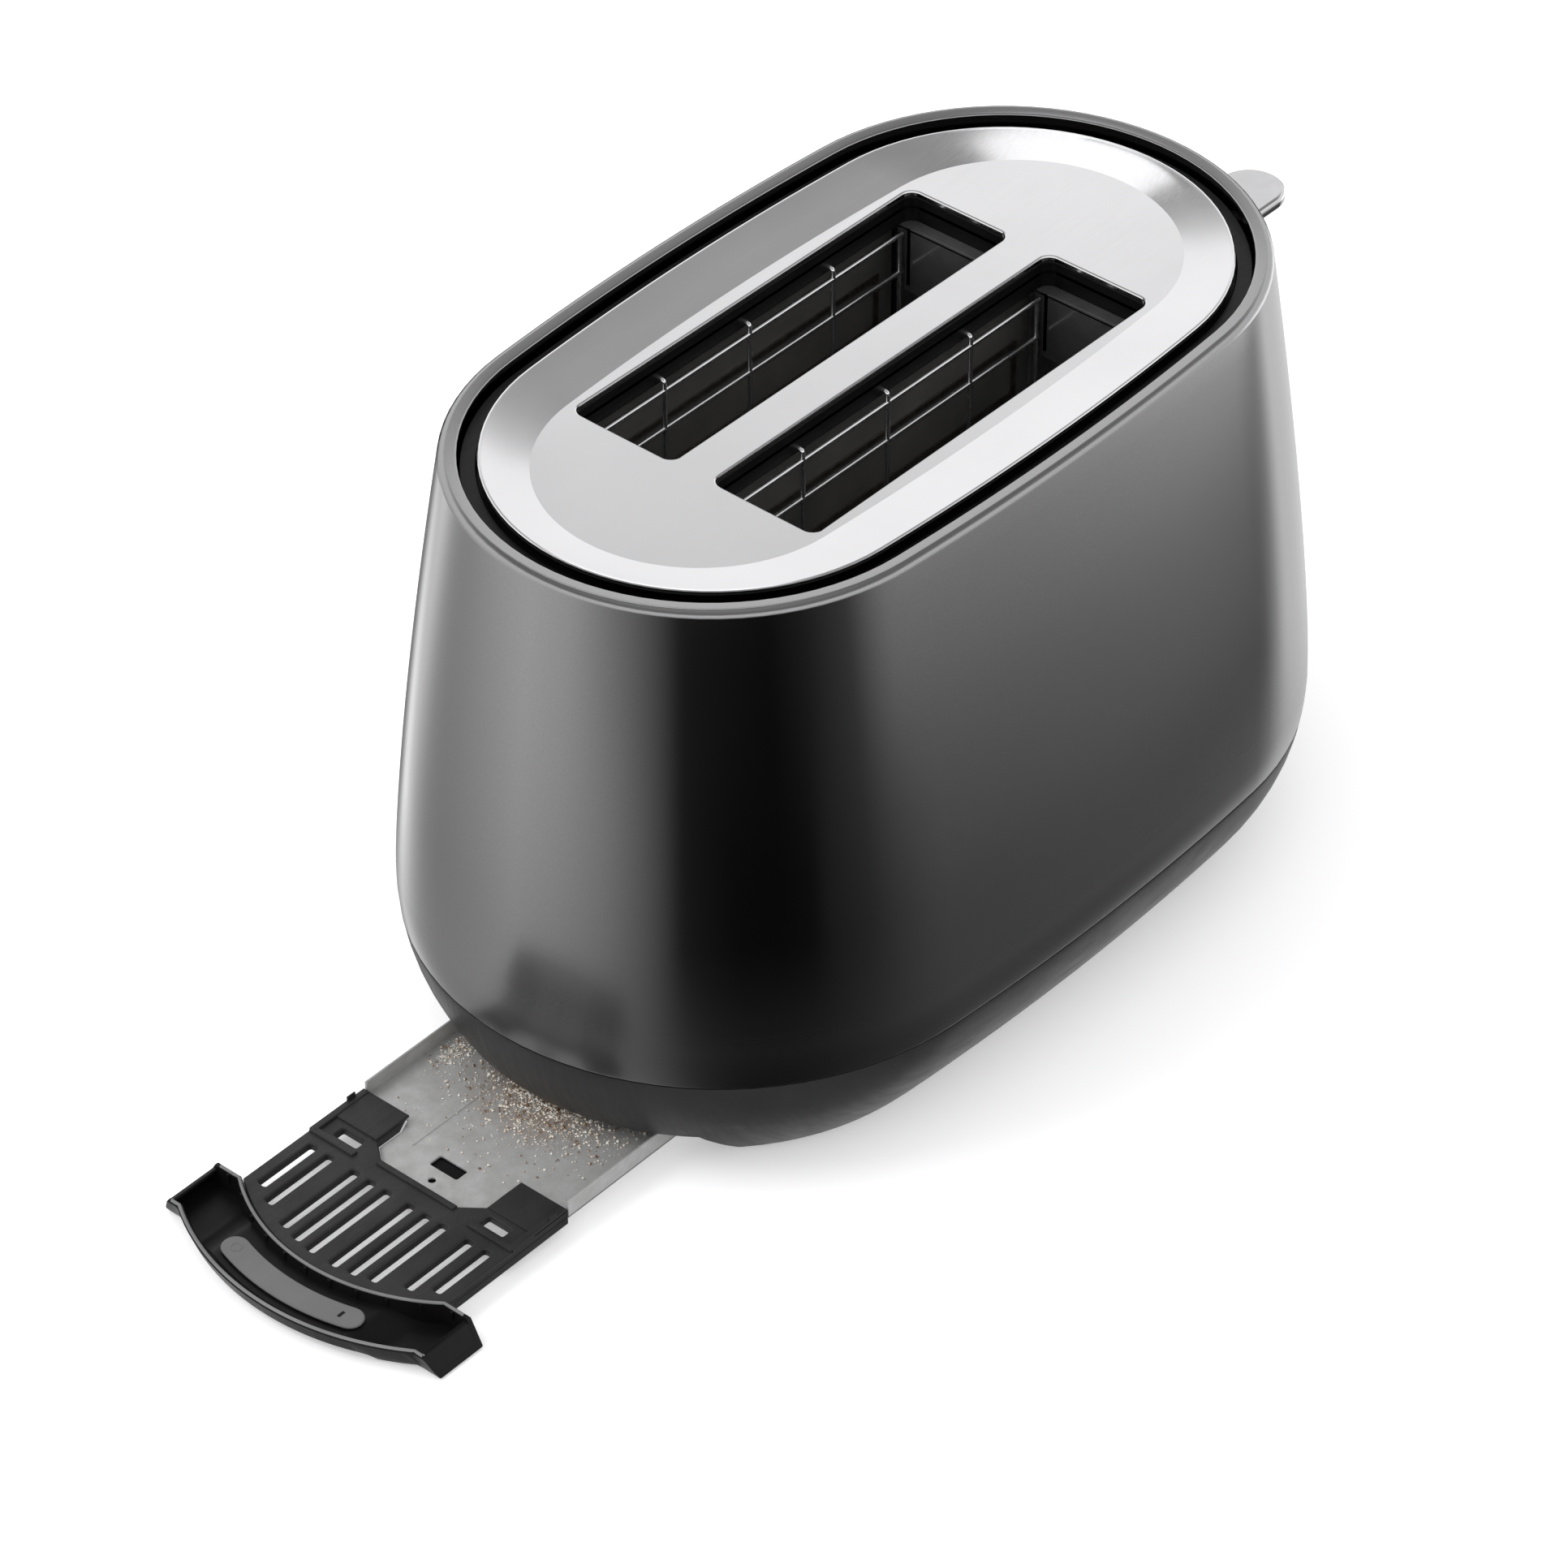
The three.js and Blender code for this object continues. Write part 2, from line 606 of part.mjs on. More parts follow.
const heaterBoard = (y) =>
  box(
    -HEATER.halfLength,
    HEATER.halfLength,
    y - HEATER.thickness / 2,
    y + HEATER.thickness / 2,
    HEATER.low,
    HEATER.high,
  );

const RIBBON = { half: 64, width: 1.6, thickness: 0.5, pitch: 16.5, runs: 8, low: 36 };

// Flat resistance ribbon that runs to and fro across a board's face.
function heatingRibbon(faceY, direction) {
  const { half, width, thickness, pitch, runs, low } = RIBBON;
  const strips = [];
  const near = faceY + direction * GAP;
  const y = [near, near + direction * thickness];
  for (let i = 0; i < runs; i++) {
    const z = low + pitch * i;
    strips.push(box(-half, half, ...y, z, z + width));
    if (i < runs - 1) {
      const x = i % 2 ? -half : half - width;
      strips.push(box(x, x + width, ...y, z, z + pitch + width));
    }
  }
  return join(...strips);
}

const SHIELD = { y: 54, sheet: 0.7, halfLength: 70, low: 10, high: 165, footInner: 47, footOuter: 64 };

// Thin steel wall beside the outer heater, folded out at its foot where the base's screws hold it.
function heatShield(side) {
  const { y, sheet, halfLength, low, high, footInner, footOuter } = SHIELD;
  const wall = box(-halfLength, halfLength, y * side, (y + sheet) * side, low, high);
  const foot = box(-halfLength, halfLength, footInner * side, footOuter * side, low, low + sheet);
  const holes = [-SCREW.x, SCREW.x].map((x) =>
    bar("z", SCREW.shank + GAP, low - 5, low + 10, x, SCREW.y * side),
  );
  return cut(join(wall, foot), ...holes);
}

// ---------------------------------------------------------------- bread carriage
const BRACKET_X = 78;
const BRACKET_SHEET = 1.5;
const NECK = { startX: 149, endX: 153, halfWidth: 7 };
const ROD = { x: 87, y: 13, radius: 2.5 };
const SPRING = { x: 87, y: -13, radius: 3.4, wire: 0.5, turns: 8, low: 114, high: 166 };

const RUNGS = { places: [-56, -28, 0, 28, 56], halfLength: 9, depth: 2.4 };

// Spine under one slot, with rungs that carry the bread; it runs out through the chassis plate.
function breadRack(y) {
  const spine = box(-62, BRACKET_X - GAP, y - 1, y + 1, RACK_Z - 5, RACK_Z - 0.8);
  const { places, halfLength, depth } = RUNGS;
  const rungs = places.map((x) =>
    box(x - 1, x + 1, y - halfLength, y + halfLength, RACK_Z - depth, RACK_Z),
  );
  return join(spine, ...rungs);
}

// Upright plate that ties both racks to the lever, with a bush on the guide rod and the spring's tab.
function carriageBracket() {
  const plate = box(BRACKET_X, BRACKET_X + BRACKET_SHEET, -28, 28, RACK_Z - 6, LEVER_TOP_Z + 2);
  const arm = box(BRACKET_X + 1, ROD.x, ROD.y - 2, ROD.y + 2, RACK_Z + 4, RACK_Z + 26);
  const bush = bar("z", ROD.radius + 2, RACK_Z + 2, RACK_Z + 28, ROD.x, ROD.y);
  const bore = bar("z", ROD.radius + GAP, 90, 170, ROD.x, ROD.y);
  const tab = box(BRACKET_X + 1, SPRING.x + 4, SPRING.y - 3, SPRING.y + 3, RACK_Z - 4, RACK_Z - 2.4);
  return join(cut(join(plate, arm, bush), bore), tab);
}

const leverArm = () => {
  const startX = BRACKET_X + BRACKET_SHEET + GAP;
  return box(startX, NECK.startX - GAP, -2, 2, LEVER_TOP_Z - 4.8, LEVER_TOP_Z + 0.4);
};

// Polished tongue with a round end, on a deeper neck that meets the arm. All of it stays outside the
// body's surface, which stands further out at the bottom of the lever's travel.
function leverKnob() {
  const tongue = new THREE.Shape();
  const r = LEVER_END_RADIUS;
  tongue.absarc(LEVER_END_X, 0, r, -Math.PI / 2, Math.PI / 2);
  tongue.lineTo(NECK.endX - 1, r);
  tongue.lineTo(NECK.endX - 1, -r);
  tongue.closePath();
  const { startX, endX, halfWidth } = NECK;
  return join(
    prism(tongue, LEVER_TOP_Z - 3.8, LEVER_TOP_Z, 12),
    box(startX, endX, -halfWidth, halfWidth, LEVER_TOP_Z - 4.6, LEVER_TOP_Z + 0.2),
  );
}

function carriageSpring() {
  const steps = SPRING.turns * 8;
  const points = Array.from({ length: steps + 1 }, (_, i) => {
    const turn = (2 * Math.PI * i) / 8;
    const z = SPRING.low + ((SPRING.high - SPRING.low) * i) / steps;
    return new THREE.Vector3(
      SPRING.x + SPRING.radius * Math.cos(turn),
      SPRING.y + SPRING.radius * Math.sin(turn),
      z,
    );
  });
  const section = rectangle(-SPRING.wire, SPRING.wire, -SPRING.wire, SPRING.wire);
  const geometry = new THREE.ExtrudeGeometry(section, {
    steps,
    extrudePath: new THREE.CatmullRomCurve3(points),
  });
  return solid(geometry);
}

// ---------------------------------------------------------------- controls
const MAGNET = { x0: 92, x1: 106, half: 8, low: 14, high: 34 };
const DIAL = { z: 55, radius: 12, front: 160 };
const BUTTONS = [
  { name: "cancel_button", z: 132 },
  { name: "reheat_button", z: 112 },
  { name: "defrost_button", z: 92 },
];
const BUTTON = { y: 27, radius: 5, proud: 1.8, depth: 6 };

// Distance from the centre plane to the body's surface, along +X, at a place on the lever's end.
function surfaceX(y, z) {
  const { halfLength, endRadius } = bodyOval(z, 0);
  return halfLength - endRadius + Math.sqrt(endRadius ** 2 - y ** 2);
}

function controlFascia() {
  const levels = [38, 46, 66, 94, 124, 154, 170];
  const skin = cut(bodyBlock(levels, -FASCIA.proud), bodyBlock([37, ...levels, 171], FASCIA.depth));
  const patch = skin.intersect(prismAlongX(fasciaOutline(0), 100, 170));
  const leverSlot = roundedRectangle(-3, 3, LEVER_TOP_Z - LEVER_TRAVEL - 8, LEVER_TOP_Z + 3, 2.5);
  const holes = [
    prismAlongX(leverSlot, 100, 170),
    bar("x", 3.4, 100, 170, 0, DIAL.z),
    ...BUTTONS.map(({ z }) => bar("x", BUTTON.radius + 2 * GAP, 100, 170, BUTTON.y, z, 12)),
  ];
  return cut(patch, ...holes);
}

function browningDial() {
  const back = surfaceX(0, DIAL.z) + FASCIA.proud + 0.6;
  const grip = bar("x", DIAL.radius, back, DIAL.front, 0, DIAL.z, 24);
  const pointer = box(DIAL.front - 1, DIAL.front + 0.8, -0.8, 0.8, DIAL.z + 3, DIAL.z + DIAL.radius);
  return join(grip, pointer, bar("x", 3, 121, back + 1, 0, DIAL.z, 12));
}

const dialPotentiometer = () => box(108, 120.5, -8, 8, DIAL.z - 8, DIAL.z + 8);

function pushButton(z) {
  const face = surfaceX(BUTTON.y, z) + BUTTON.proud;
  return join(
    bar("x", BUTTON.radius, face - BUTTON.depth, face, BUTTON.y, z, 12),
    bar("x", 1.6, 115.5, face - BUTTON.depth + 1, BUTTON.y, z, 8),
  );
}

const circuitBoard = () => box(110.5, 112.1, 12, 46, 46, 142);

function latchMagnet() {
  const core = box(MAGNET.x0 + 3, MAGNET.x1 - 3, -5, 5, MAGNET.low, MAGNET.high);
  const coil = box(MAGNET.x0, MAGNET.x1, -MAGNET.half, MAGNET.half, MAGNET.low + 2, MAGNET.high - 4);
  return join(core, coil);
}

const latchKeeper = () => {
  const low = MAGNET.high + GAP + LEVER_TRAVEL;
  return box(BRACKET_X + BRACKET_SHEET + GAP, MAGNET.x1, -5.5, 5.5, low, low + 1.5);
};

// ---------------------------------------------------------------- assembly
piece("outer_shell", outerShell(), MATERIALS.shell);
piece("base_moulding", baseMoulding(), MATERIALS.base);
piece("top_plate", topPlate(), MATERIALS.brushed);
piece("top_frame", topFrame(), MATERIALS.black);
corners(FOOT.x, FOOT.y).forEach(([x, y], i) =>
  piece(`rubber_foot_${i + 1}`, rubberFoot(x, y), MATERIALS.rubber),
);
corners(SCREW.x, SCREW.y).forEach(([x, y], i) =>
  piece(`base_screw_${i + 1}`, baseScrew(x, y), MATERIALS.plated),
);
piece("cord_gland", cordGland(), MATERIALS.rubber);

const tray = new THREE.Group();
toaster.add(tray);
piece("crumb_pan", crumbPan(), MATERIALS.plated, tray);
piece("tray_frame", trayFrame(), MATERIALS.black, tray);
piece("tray_handle", trayHandle(), MATERIALS.black, tray);
piece("handle_grip_pad", gripPad(), MATERIALS.grip, tray);

const carriageSlits = [SLOT_Y, -SLOT_Y].map((y) => box(60, 80, y - 2, y + 2, 30, RACK_Z + 3));
piece("chassis_plate_tray_end", chassisPlate(-1, []), MATERIALS.plated);
piece("chassis_plate_lever_end", chassisPlate(1, carriageSlits), MATERIALS.plated);
piece("heat_shield_far", heatShield(1), MATERIALS.plated);
piece("heat_shield_near", heatShield(-1), MATERIALS.plated);

const boardHalf = HEATER.thickness / 2;
piece("heater_board_far", heaterBoard(HEATER.farY), MATERIALS.mica);
piece("heater_board_centre", heaterBoard(0), MATERIALS.mica);
piece("heater_board_near", heaterBoard(-HEATER.farY), MATERIALS.mica);
piece("heating_ribbon_far", heatingRibbon(HEATER.farY - boardHalf, -1), MATERIALS.element);
piece("heating_ribbon_centre_far", heatingRibbon(boardHalf, 1), MATERIALS.element);
piece("heating_ribbon_centre_near", heatingRibbon(-boardHalf, -1), MATERIALS.element);
piece("heating_ribbon_near", heatingRibbon(boardHalf - HEATER.farY, 1), MATERIALS.element);
for (const { name, y, wall } of guardPlaces) piece(name, breadGuard(y, wall), MATERIALS.wire);

const carriage = new THREE.Group();
toaster.add(carriage);
piece("bread_rack_far", breadRack(SLOT_Y), MATERIALS.wire, carriage);
piece("bread_rack_near", breadRack(-SLOT_Y), MATERIALS.wire, carriage);
piece("carriage_bracket", carriageBracket(), MATERIALS.plated, carriage);
piece("latch_keeper", latchKeeper(), MATERIALS.plated, carriage);
piece("lever_arm", leverArm(), MATERIALS.plated, carriage);
piece("lever_knob", leverKnob(), MATERIALS.chrome, carriage);

piece("guide_rod", bar("z", ROD.radius, 14, 172, ROD.x, ROD.y), MATERIALS.plated);
piece("carriage_spring", carriageSpring(), MATERIALS.wire);
piece("latch_magnet", latchMagnet(), MATERIALS.plated);
piece("circuit_board", circuitBoard(), MATERIALS.board);
piece("control_fascia", controlFascia(), MATERIALS.gloss);
piece("dial_potentiometer", dialPotentiometer(), MATERIALS.black);
piece("browning_dial", browningDial(), MATERIALS.brushed);
for (const { name, z } of BUTTONS) piece(name, pushButton(z), MATERIALS.brushed);

// The tray's outer edge and the lever's tip are the two ends of the object.
const trayTipX = HANDLE.centreX - HANDLE.radius;
const leverTipX = LEVER_END_X + LEVER_END_RADIUS;
toaster.position.x = -(trayTipX + leverTipX) / 2;

export default toaster;
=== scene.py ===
"""Looks of the pop up toaster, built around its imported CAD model.

Lengths are in millimetres with the origin under the middle of the toaster's body, +X towards the lever
and +Z up. place() turns such a point into the row frame in metres.
"""

import math
import random

import bpy
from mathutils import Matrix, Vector
from mathutils.geometry import tessellate_polygon


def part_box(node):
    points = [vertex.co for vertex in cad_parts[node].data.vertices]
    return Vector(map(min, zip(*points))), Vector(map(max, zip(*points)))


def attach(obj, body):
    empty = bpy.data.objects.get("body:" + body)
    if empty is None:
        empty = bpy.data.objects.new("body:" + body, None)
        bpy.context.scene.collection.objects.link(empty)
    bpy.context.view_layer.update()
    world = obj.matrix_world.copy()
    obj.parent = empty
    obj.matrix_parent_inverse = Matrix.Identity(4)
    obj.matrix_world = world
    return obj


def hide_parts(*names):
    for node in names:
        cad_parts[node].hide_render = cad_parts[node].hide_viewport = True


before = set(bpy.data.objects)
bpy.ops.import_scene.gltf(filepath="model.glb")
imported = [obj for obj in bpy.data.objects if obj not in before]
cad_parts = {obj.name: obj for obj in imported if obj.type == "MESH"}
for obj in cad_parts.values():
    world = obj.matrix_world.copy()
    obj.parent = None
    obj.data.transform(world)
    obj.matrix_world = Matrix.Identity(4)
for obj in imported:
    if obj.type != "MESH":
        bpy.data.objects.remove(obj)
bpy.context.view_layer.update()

# ---------------------------------------------------------------- driving dimensions
MM = 0.001
plate_low, plate_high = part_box("top_plate")
BODY_X = (plate_low.x + plate_high.x) / 2  # the body's middle in the row frame, in metres

GAP = 0.3
BELLY = (148.8, 91.8, 89.5)  # half length, half width and end radius of the body at its widest
SIDE_TAPER = 1.15
BELLY_Z = 46
RIM_Z = 185
RIM_INSET = 15.2
FLOOR_INSET = 18
SHELL_DULL_Z = (50, 84)  # dullest below the first height, smoothest above the second
SEAM_Z = 37.5
BASE_Z = 1.5
SHELL_WALL = 1.6
LIP_WIDTH = 5.2
BASE_WALL = 2.4
BOSS = (45, 58)  # places of the four screw bosses from the middle of the body
FEET = [(88, 50), (-88, 50), (-88, -50), (88, -50)]
CORD_X = 62
CORD_Z = 18
CORD_HOLE = 6.8

PLATE = (123.2, 64.1, 61.9)
PLATE_EDGE_Z = 184
FIELD_Z = 181.5
PLATE_THICKNESS = 1.5
FIELD = (PLATE[0] - 12.2, PLATE[1] - 17, PLATE[2] - 17)
SLOT_LENGTH = 140
SLOT_WIDTH = 35.7
SLOT_CORNER = 3.5
SLOT_Y = 24.5
FRAME_TOP_Z = FIELD_Z - PLATE_THICKNESS - GAP
THROAT_Z = 171.5
LEDGE_X = 66

TRAY_HALF = 37.4
TRAY_OPENING_X = -94
TRAY_OPENING_HALF = 47.8  # at the opening's top
TRAY_FOOT_HALF = 51.2  # and at its foot, where the handle's ends flare
PAN_FLOOR_Z = 5.2
PAN_SHEET = 0.8
PAN_REAR_X = -22
CARRIER_REAR_X = -164.5
GRILLE_REAR_X = -182.3
GRILLE_TOP_Z = 8
GRILLE_FOOT_Z = 3.3
GRILLE_SLOTS = (4.2, 10.2, 16.2, 25.6, 32)  # distances of the slots from the centre line
HANDLE_X = -163.5  # centre of the handle's arcs
HANDLE_RADIUS = 80
HANDLE_REAR_X = -212
HANDLE_FOOT_Z = 0.8
HANDLE_TOP_Z = 8
HANDLE_TOP_HALF = 46.6
HANDLE_FOOT_HALF = 50.4
RIB_RADIUS = 62
RIB_HALF_SHEET = 0.8
GRILLE_REACH = RIB_RADIUS - RIB_HALF_SHEET - GAP
FINGER_HALF = 33  # half width of the raised part of the trough's floor, at its foot
FINGER_SLOPE = 8
FINGER_LIFT = 3.4

GUARD_PIVOT_Z = 38
GUARD_OFFSET = 16.1
GUARD_LEVELS = (64, 95, 126, 157.5, 170)
GUARD_UPRIGHTS = (-35, 0, 35)

LEVER_TOP_Z = 149
LEVER_TRAVEL = 75
LEVER_END_X = 171.9
DIAL_Z = 55
DIAL_RADIUS = 12
DIAL_FRONT_X = 160
DIAL_SHAFT_HOLE = 3.4
FASCIA_SPAN = (100, 170)  # reach along X of the cutters for the panel and its holes
FASCIA = {"half": 38, "low": 42, "high": 166, "corner": 9, "proud": 0.8, "depth": 1.7}
BUTTONS = {"cancel_button": 132, "reheat_button": 112, "defrost_button": 92}
BUTTON_Y = 27
BUTTON_RADIUS = 5
SIDES = (-1, 1)


def place(point):
    """A point of the script's own frame, in the row frame in metres."""
    return (point[0] * MM + BODY_X, point[1] * MM, point[2] * MM)


# ---------------------------------------------------------------- outlines
def oval(size, end_steps=40, side_steps=16):
    """Anticlockwise points round an oval: two end arcs and two bowed side arcs."""
    half_length, half_width, end_radius = size
    end_x = half_length - end_radius
    side_radius = (end_x**2 + half_width**2 - end_radius**2) / (2 * (half_width - end_radius))
    turn = math.atan2(side_radius - half_width, end_x)
    half = []
    for i in range(end_steps):
        a = -turn + 2 * turn * i / end_steps
        half.append((end_x + end_radius * math.cos(a), end_radius * math.sin(a)))
    for i in range(side_steps):
        a = turn + (math.pi - 2 * turn) * i / side_steps
        half.append((side_radius * math.cos(a), half_width - side_radius + side_radius * math.sin(a)))
    return half + [(-x, -y) for x, y in half]


def grown(size, by):
    """An oval's size, larger all round."""
    return tuple(v + by for v in size)


def body_oval(z, depth=0.0):
    """Size of the body's oval at a height, at a depth below its surface."""
    if z > BELLY_Z:
        end = RIM_INSET * ((z - BELLY_Z) / (RIM_Z - BELLY_Z)) ** 1.35
    else:
        end = FLOOR_INSET * ((BELLY_Z - z) / BELLY_Z) ** 2.1
    side = SIDE_TAPER * end
    return (BELLY[0] - end - depth, BELLY[1] - side - depth, BELLY[2] - side - depth)


MOUTH = body_oval(RIM_Z, LIP_WIDTH)


def arc(cx, cy, radius, start, end, steps):
    """Points on an arc from start to end, in degrees."""
    turns = [math.radians(start + (end - start) * i / steps) for i in range(steps + 1)]
    return [(cx + radius * math.cos(a), cy + radius * math.sin(a)) for a in turns]


def rounded(u0, u1, v0, v1, r, steps=6):
    """A rectangle with round corners, anticlockwise."""
    return (
        arc(u1 - r, v0 + r, r, -90, 0, steps)
        + arc(u1 - r, v1 - r, r, 0, 90, steps)
        + arc(u0 + r, v1 - r, r, 90, 180, steps)
        + arc(u0 + r, v0 + r, r, 180, 270, steps)
    )


def rectangle(u0, u1, v0, v1):
    low, high = min(v0, v1), max(v0, v1)
    return [(u0, low), (u1, low), (u1, high), (u0, high)]


def slot_outline(y, grow=0.0):
    """A bread slot about its centre line at y."""
    u = SLOT_LENGTH / 2 + grow
    v = SLOT_WIDTH / 2 + grow
    return rounded(-u, u, y - v, y + v, SLOT_CORNER + grow)


def between(a, b, t):
    """The size or point a share t of the way from a to b."""
    return tuple(p + (q - p) * t for p, q in zip(a, b))


def signed_area(points):
    return sum(a[0] * b[1] - b[0] * a[1] for a, b in zip(points, points[1:] + points[:1])) / 2


def inset(points, by):
    """The outline moved to its left by a distance, which is inwards on an anticlockwise outline."""
    moved = []
    count = len(points)
    for i, (x, y) in enumerate(points):
        before, after = points[i - 1], points[(i + 1) % count]
        normals = []
        for (ax, ay), (bx, by_) in ((before, (x, y)), ((x, y), after)):
            length = math.hypot(bx - ax, by_ - ay) or 1.0
            normals.append((-(by_ - ay) / length, (bx - ax) / length))
        nx, ny = normals[0][0] + normals[1][0], normals[0][1] + normals[1][1]
        size = max(nx * nx + ny * ny, 0.5)
        moved.append((x + 2 * by * nx / size, y + 2 * by * ny / size))
    return moved


# ---------------------------------------------------------------- meshes
def mesh_object(name, points, faces):
    mesh = bpy.data.meshes.new(name)
    mesh.from_pydata([place(p) for p in points], [], faces)
    mesh.validate()
    mesh.update()
    obj = bpy.data.objects.new(name, mesh)
    bpy.context.scene.collection.objects.link(obj)
    return obj


def strip(base_a, base_b, count):
    """Faces between two closed loops."""
    return [
        (base_a + j, base_a + (j + 1) % count, base_b + (j + 1) % count, base_b + j) for j in range(count)
    ]


class Solid:
    """Points and faces of one piece, to which closed solids are added one after another."""

    up = Vector((0, 0, 1))  # from the first cap of a stack to the last

    def __init__(self):
        self.points = []
        self.faces = []

    def ring(self, loops):
        """A closed profile carried round a closed outline: each loop holds one profile point's places."""
        base, count = len(self.points), len(loops[0])
        self.points += [p for loop in loops for p in loop]
        for i in range(len(loops)):
            self.faces += strip(base + i * count, base + (i + 1) % len(loops) * count, count)
        return self

    def stack(self, stacks):
        """A slab between its stacks of loops: the first stack is the outside and the rest are holes."""
        first, last = [], []
        for loops in stacks:
            base, count = len(self.points), len(loops[0])
            self.points += [p for loop in loops for p in loop]
            for i in range(len(loops) - 1):
                self.faces += strip(base + i * count, base + (i + 1) * count, count)
            first.append(range(base, base + count))
            last.append(range(base + (len(loops) - 1) * count, base + len(loops) * count))
        for caps, flip in ((first, True), (last, False)):
            index = [i for cap in caps for i in cap]
            flat = [[Vector(self.points[i]) for i in cap] for cap in caps]
            for triangle in tessellate_polygon(flat):
                face = [index[i] for i in triangle]
                self.faces.append(self.turned(face, flip))
        return self

    def turned(self, face, flip):
        """A cap's face, wound so that it points up, or down if flipped."""
        a, b, c = (Vector(self.points[i]) for i in face)
        facing = (b - a).cross(c - a).dot(self.up) > 0
        return tuple(face) if facing != flip else tuple(reversed(face))

    def plate(self, outlines, z0, z1, edge=0.3, steps=2):
        """Flat slab with an outline and holes, its edges rounded off."""
        stacks = []
        for i, outline in enumerate(outlines):
            points = list(outline)
            if (signed_area(points) > 0) == (i > 0):
                points.reverse()
            bends = [math.pi / 2 * k / steps for k in range(steps + 1)]
            low = [(edge * (1 - math.sin(a)), z0 + edge * (1 - math.cos(a))) for a in bends]
            high = [(edge * (1 - math.cos(a)), z1 - edge * (1 - math.sin(a))) for a in bends]
            loops = [[(x, y, z) for x, y in inset(points, by)] for by, z in low + high]
            stacks.append(loops)
        self.up = Vector((0, 0, 1))
        return self.stack(stacks)

    def block(self, x, y, z, edge=0.3):
        """Rounded box between two places on each axis."""
        return self.plate([rectangle(min(x), max(x), min(y), max(y))], min(z), max(z), edge)

    def turning(self, profile, axis, at, steps=48):
        """Solid of revolution: profile holds (distance along the axis, radius)."""
        loops = [
            [axial(axis, d, r, math.tau * k / steps, at) for k in range(steps)] for d, r in profile
        ]
        self.up = Vector(axial(axis, 1, 0, 0, (0, 0)))
        return self.stack([loops])

    def tube(self, path, radius, sides=10):
        """Round wire along a path of points."""
        vectors = [Vector(p) for p in path]
        loops = []
        side = None
        for i, here in enumerate(vectors):
            before, after = vectors[max(i - 1, 0)], vectors[min(i + 1, len(vectors) - 1)]
            along = (after - before).normalized()
            if side is None:
                side = along.orthogonal().normalized()
            side = (side - along * side.dot(along)).normalized()
            other = along.cross(side)
            loops.append([
                tuple(here + radius * (math.cos(a) * side + math.sin(a) * other))
                for a in (math.tau * k / sides for k in range(sides))
            ])
        base = len(self.points)
        self.points += [p for loop in loops for p in loop]
        for i in range(len(loops) - 1):
            self.faces += strip(base + i * sides, base + (i + 1) * sides, sides)
        end = base + (len(loops) - 1) * sides
        self.faces.append(tuple(base + k for k in reversed(range(sides))))
        self.faces.append(tuple(end + k for k in range(sides)))
        return self

    def object(self, name):
        return mesh_object(name, self.points, self.faces)


def axial(axis, along, radius, turn, at):
    """A point at a radius round an axis that passes through at, the two other coordinates in order."""
    u, v = radius * math.cos(turn), radius * math.sin(turn)
    if axis == "x":
        return (along, at[0] + u, at[1] + v)
    if axis == "y":
        return (at[0] + v, along, at[1] + u)
    return (at[0] + u, at[1] + v, along)


def prism_x(outline, x0, x1):
    """Plain prism along X of an outline in the YZ plane, used as a cutter."""
    solid = Solid()
    solid.up = Vector((1, 0, 0))
    return solid.stack([[[(x, y, z) for y, z in outline] for x in (x0, x1)]])


def carve(obj, solids, operation="DIFFERENCE"):
    """Cuts solids out of obj, or keeps what they share."""
    for i, solid in enumerate(solids):
        cutter = solid.object(f"cutter_{i}")
        modifier = obj.modifiers.new("carve", "BOOLEAN")
        modifier.operation = operation
        modifier.solver = "EXACT"
        modifier.object = cutter
        bpy.context.view_layer.update()
        made = bpy.data.meshes.new_from_object(obj.evaluated_get(bpy.context.evaluated_depsgraph_get()))
        obj.modifiers.clear()
        obj.data = made
        bpy.data.objects.remove(cutter)
    return obj


def finish(obj, body, material, replaced=(), crease=38):
    """Shades a piece smooth up to a crease angle and ties it to its body, hiding the CAD nodes it replaces.
    """
    obj.data.materials.clear()
    obj.data.materials.append(material)
    obj.data.shade_smooth()
    obj.data.set_sharp_from_angle(angle=math.radians(crease))
    weighted = obj.modifiers.new("weighted_normals", "WEIGHTED_NORMAL")
    weighted.keep_sharp = True
    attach(obj, body)
    if replaced:
        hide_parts(*replaced)
    return obj


# ---------------------------------------------------------------- materials
def feed(tree, value, socket):
    """Links an output to a socket, or sets the socket to a constant."""
    if isinstance(value, bpy.types.NodeSocket):
        tree.links.new(value, socket)
    else:
        socket.default_value = value


def fill_ramp(node, stops):
    """Gives a colour ramp its stops, each a position and a colour."""
    elements = node.color_ramp.elements
    while len(elements) < len(stops):
        elements.new(0.5)
    for element, (position, colour) in zip(elements, stops):
        element.position = position
        element.color = (*colour, 1)


